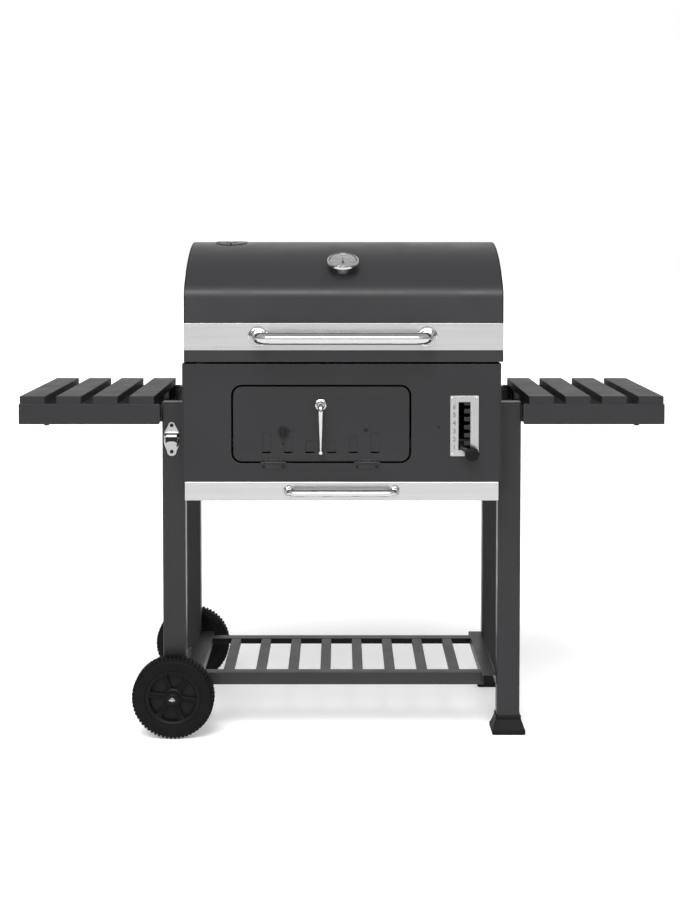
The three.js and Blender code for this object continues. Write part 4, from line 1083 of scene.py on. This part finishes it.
def build_lid():
    """The arched sheet, its two ends, the stainless band and the handle. The vent keeps its CAD shape."""
    half = BODY_HALF - 3.4
    bm = bmesh.new()
    outer, inner = lid_outline(0, LID_BOTTOM), lid_outline(SHEET, LID_BOTTOM)
    ends = (LID_MIDDLE - half, LID_MIDDLE + half)
    rings = [[(x, a, b) for a, b in [*outer, *inner[::-1]]] for x in ends]
    made = [[bm.verts.new(p) for p in ring] for ring in rings]
    count = len(made[0])
    bridge(bm, *made)
    for ring in made:
        for i in range(len(outer) - 1):
            bm.faces.new((ring[i], ring[i + 1], ring[count - 2 - i], ring[count - 1 - i]))
    for y in (BODY_FRONT + 1.3, BODY_BACK - 9.5):
        box(bm, (ends[0] + 1, ends[1] - 1), (y, y + 8.2), (LID_BOTTOM, LID_BOTTOM + 1.4), 0.4)
    make("lid_shell", bm, "lid", "charcoal_paint", ["lid_sheet"])
    for side_name, side in SIDES:
        bm = bmesh.new()
        x = sorted(LID_MIDDLE + side * reach for reach in (BODY_HALF - 1.8, BODY_HALF))
        plate(bm, [lid_outline(0, LID_BOTTOM)], "x", *x, 0.8, 3)
        x = sorted(LID_MIDDLE + side * reach for reach in (BODY_HALF - 9, BODY_HALF - 1.2))
        plate(bm, [lid_outline(1.8, LID_BOTTOM + 0.4), lid_outline(3.2, LID_BOTTOM + 1.8)], "x", *x, 0.3, 1)
        make(f"lid_wall_{side_name}", bm, "lid", "charcoal_paint", [f"lid_end_{side_name}"])

    bm = bmesh.new()
    band_ends = (LID_MIDDLE - BODY_HALF, LID_MIDDLE + BODY_HALF)
    box(bm, band_ends, (BODY_FRONT - 1.3, BODY_FRONT - 0.1), (BAND_LOW, BAND_HIGH), 0.35)
    make("band", bm, "lid", "stainless", ["lid_band"])
    bm = bmesh.new()
    front = BODY_FRONT - 1.5
    bow(bm, GRIP_X, GRIP_HALF, GRIP_Z, front, 54.4, 13.5, 34)
    for side in (-1, 1):
        rose(bm, GRIP_X + side * GRIP_HALF, front + 0.2, GRIP_Z + 1, 23.5)
    make("lid_grip", bm, "lid", "chrome", ["lid_handle"])

    keep("lid_vent_collar", "charcoal_paint", 0.2)
    keep("lid_vent_damper", "charcoal_paint", 0.2)


def build_thermometer():
    """A round dial under a domed glass, on a narrower neck."""
    tilt, lean = THERMOMETER_TILT, THERMOMETER_LEAN
    axis = Vector((0, -math.sin(lean), math.cos(lean)))
    up = Vector((0, math.cos(lean), math.sin(lean)))
    right = Vector((1, 0, 0))
    outward = Vector((0, -math.sin(tilt), math.cos(tilt)))
    centre = Vector((THERMOMETER_X, BODY_MIDDLE, ARCH_Z)) + outward * LID_RADIUS
    first_mark, sweep, face = 225, 270, 16.3
    ticks, figures = 31, 7

    bm = bmesh.new()
    case = [(0, -5.5), (20, -5.5), (20, 6.5), (20.8, 9), (23.5, 11), (33, 14), (36.4, 15.6), (37.5, 17.4),
            (37.4, 19.6), (36.4, 21.8), (34.6, 22.9), (33, 22.5), (32.3, 21.1), (32, 16), (0, 15.8)]
    lathe(bm, case, centre, axis, 96)
    rod(bm, centre - axis * 55, centre, 4, 1, 24)
    make("thermometer_body", bm, "lid", "chrome", ["thermometer_case"])
    bm = bmesh.new()
    dome = [(31.9, 20.5), (31.7, 21.6), (29, 23.2), (24, 24.9), (18, 26.1), (10, 27), (0, 27.2)]
    inner = [(0, 25.7), (10, 25.5), (18, 24.6), (24, 23.4), (29, 21.9), (31, 20.6)]
    lathe(bm, [*inner, *dome], centre, axis, 64)
    make("thermometer_dome", bm, "lid", "clear_glass", ["thermometer_glass"])
    bm = bmesh.new()
    lathe(bm, [(0, 15.7), (31.8, 15.7), (31.8, 16.1), (31.4, face), (0, face)], centre, axis, 64)
    make("dial", bm, "lid", "dial_enamel")
    bm = bmesh.new()
    for index in range(ticks):
        angle = math.radians(first_mark - sweep * index / (ticks - 1))
        out = right * math.cos(angle) + up * math.sin(angle)
        along = axis.cross(out)
        long = index % 5 == 0
        inner_r, half = (22.5, 0.55) if long else (25.5, 0.3)
        rings = []
        for reach in (inner_r, 29):
            corners = ((-half, face - 0.05), (half, face - 0.05), (half, face + 0.1), (-half, face + 0.1))
            rings.append([centre + axis * h + out * reach + along * w for w, h in corners])
        skin(bm, rings)
    make("dial_ticks", bm, "lid", "ink")
    for index in range(figures):
        angle = math.radians(first_mark - sweep * index / (figures - 1))
        out = right * math.cos(angle) + up * math.sin(angle)
        place = centre + out * 17.6 + axis * (face + 0.05)
        text(f"dial_figure_{index}", str(50 * (index + 1)), 5.2, place, right, up, "lid", "ink")
    bm = bmesh.new()
    outline = [(-1.6, -9), (1.6, -9), (0.5, 24), (-0.5, 24)]
    rings = [[centre + right * a + up * b + axis * h for a, b in outline] for h in (17.2, 18.0)]
    skin(bm, rings)
    lathe(bm, [(0, 16.4), (2.6, 16.4), (2.6, 18.6), (2.2, 19.2), (0, 19.4)], centre, axis, 32)
    make("pointer", bm, "thermometer_needle", "needle_black", ["thermometer_needle"])


# ------------------------------------------------------------------ grate lift


def build_lift():
    """The charcoal grate and its frame keep their CAD shape; the lever through the notches is remade."""
    keep("charcoal_grate", "cast_iron", 0.8)
    keep("lift_frame", "dark_steel", 0.4)
    bm = bmesh.new()
    arm_y, knob_x = BODY_FRONT - 17, 298.7
    rod(bm, (CHANNEL_X, -180.3, NOTCH_LOW), (CHANNEL_X, arm_y + 1, NOTCH_LOW), 4, 0.4)
    tube(bm, smooth_path([(CHANNEL_X, arm_y + 4, NOTCH_LOW), (CHANNEL_X + 2, arm_y, NOTCH_LOW - 0.6),
                          (288, arm_y - 1, 684), (knob_x, arm_y - 1, 676)]), 4.6)
    make("lift_rod", bm, "coal_lift", "dark_steel")

    def lobed(radius):
        return lambda angle: radius * (1 + 0.05 * math.cos(8 * angle))

    bm = bmesh.new()
    grip = [(0, 0), (10, 0), (lobed(12), 0.8), (lobed(15.4), 3), (lobed(16), 5), (lobed(16), 8.4),
            (lobed(15), 10.6), (13, 12), (9.5, 12.9), (9, 12.3), (6, 12.1), (5.6, 13.4), (4, 14), (0, 14)]
    lathe(bm, grip, (knob_x, arm_y + 4, 674.6), (0, -1, 0), 96)
    make("lift_knob", bm, "coal_lift", "black_plastic", ["lift_lever"])


build_legs()
build_feet()
build_rack()
build_wheels()
build_opener()
build_shelves()
build_firebox()
build_scale()
build_door()
build_latch()
build_drawer()
build_lid()
build_thermometer()
build_lift()

# ------------------------------------------------------------------ floor, light and camera


def build_floor():
    """A pale studio floor that glows a little, so that its shadows stay pale."""
    bm = bmesh.new()
    bmesh.ops.create_circle(bm, cap_ends=True, radius=40000, segments=96)
    bmesh.ops.scale(bm, vec=(MM, MM, MM), verts=bm.verts)
    mesh = bpy.data.meshes.new("floor")
    bm.to_mesh(mesh)
    bm.free()
    floor = bpy.data.objects.new("floor", mesh)
    bpy.context.scene.collection.objects.link(floor)
    look = Look("floor_paint", Specular_IOR_Level=0.1)
    shade = look.noise(0.8, 3.0)
    look.color(look.ramp(shade, [(0.3, grey(0.95)), (0.7, grey(0.96))]))
    look.rough(look.spread(shade, 0.3, 0.7, 0.8, 0.9))
    look.shader.inputs["Emission Color"].default_value = (1, 1, 1, 1)
    look.shader.inputs["Emission Strength"].default_value = 0.2
    mesh.materials.append(look.material)


def build_world():
    """White to the camera. To all else, bands of light by height that fade to the far left and right."""
    world = bpy.data.worlds.new("studio")
    bpy.context.scene.world = world
    sky = Wiring(world)
    nodes, links = sky.nodes, sky.links
    shown, lighting = nodes["Background"], nodes.new("ShaderNodeBackground")
    shown.inputs["Color"].default_value = (1, 1, 1, 1)
    shown.inputs["Strength"].default_value = 1.0
    coords = nodes.new("ShaderNodeTexCoord")
    split = nodes.new("ShaderNodeSeparateXYZ")
    links.new(coords.outputs["Generated"], split.inputs["Vector"])
    bands = [(0.0, 0.12), (0.06, 0.14), (0.14, 1.0), (0.5, 1.06), (0.8, 0.6), (1.0, 0.48)]
    banded = sky.ramp(split.outputs["Z"], [(height, grey(level)) for height, level in bands])
    links.new(banded, lighting.inputs["Color"])
    sideways = nodes.new("ShaderNodeMath")
    sideways.operation = "ABSOLUTE"
    links.new(split.outputs["X"], sideways.inputs[0])
    fade = sky.spread(sideways.outputs["Value"], 0.55, 1.0, 1.0, 0.45)
    links.new(fade, lighting.inputs["Strength"])
    paths = nodes.new("ShaderNodeLightPath")
    mixer = nodes.new("ShaderNodeMixShader")
    links.new(paths.outputs["Is Camera Ray"], mixer.inputs["Fac"])
    links.new(lighting.outputs["Background"], mixer.inputs[1])
    links.new(shown.outputs["Background"], mixer.inputs[2])
    links.new(mixer.outputs["Shader"], nodes["World Output"].inputs["Surface"])


def lamp(name, kind, energy, source):
    """Adds a lamp. The vector source points from the grill to where the light comes from."""
    data = bpy.data.lights.new(name, kind)
    data.energy = energy
    obj = bpy.data.objects.new(name, data)
    obj.rotation_mode = "QUATERNION"
    obj.rotation_quaternion = source.to_track_quat("Z", "Y")
    bpy.context.scene.collection.objects.link(obj)
    return obj


def build_sun():
    """One broad, soft light from above the front, left out of reflections."""
    height, turn = math.radians(58), math.radians(-14)
    across = math.cos(height)
    source = Vector((math.sin(turn) * across, -math.cos(turn) * across, math.sin(height)))
    sun = lamp("sun", "SUN", 2.5, source)
    sun.data.angle = math.radians(35)
    sun.visible_glossy = False


def build_softbox():
    """A wide light above the front, seen only in reflections: its sheen lies along the lid's front bend."""
    place, target = Vector((-0.3, -3.2, 3.0)), Vector((0, 0, 0.95))
    softbox = lamp("softbox", "AREA", 215, place - target)
    softbox.location = place
    softbox.data.shape = "RECTANGLE"
    softbox.data.size, softbox.data.size_y = 4.5, 1.0
    softbox.visible_diffuse = False


def build_camera():
    """The photo's camera, fitted to the legs, wheels, feet, shelf edges and lid ends."""
    data = bpy.data.cameras.new("camera")
    data.lens = 51.8
    data.sensor_width = 36
    data.shift_y = -0.178
    camera = bpy.data.objects.new("camera", data)
    camera.location = (-0.0038, -3.176, 1.1688)
    camera.rotation_euler = (math.radians(90) - 0.0398, 0, 0)
    bpy.context.scene.collection.objects.link(camera)
    bpy.context.scene.camera = camera


build_floor()
build_world()
build_sun()
build_softbox()
build_camera()
bpy.context.scene.view_settings.view_transform = "Standard"
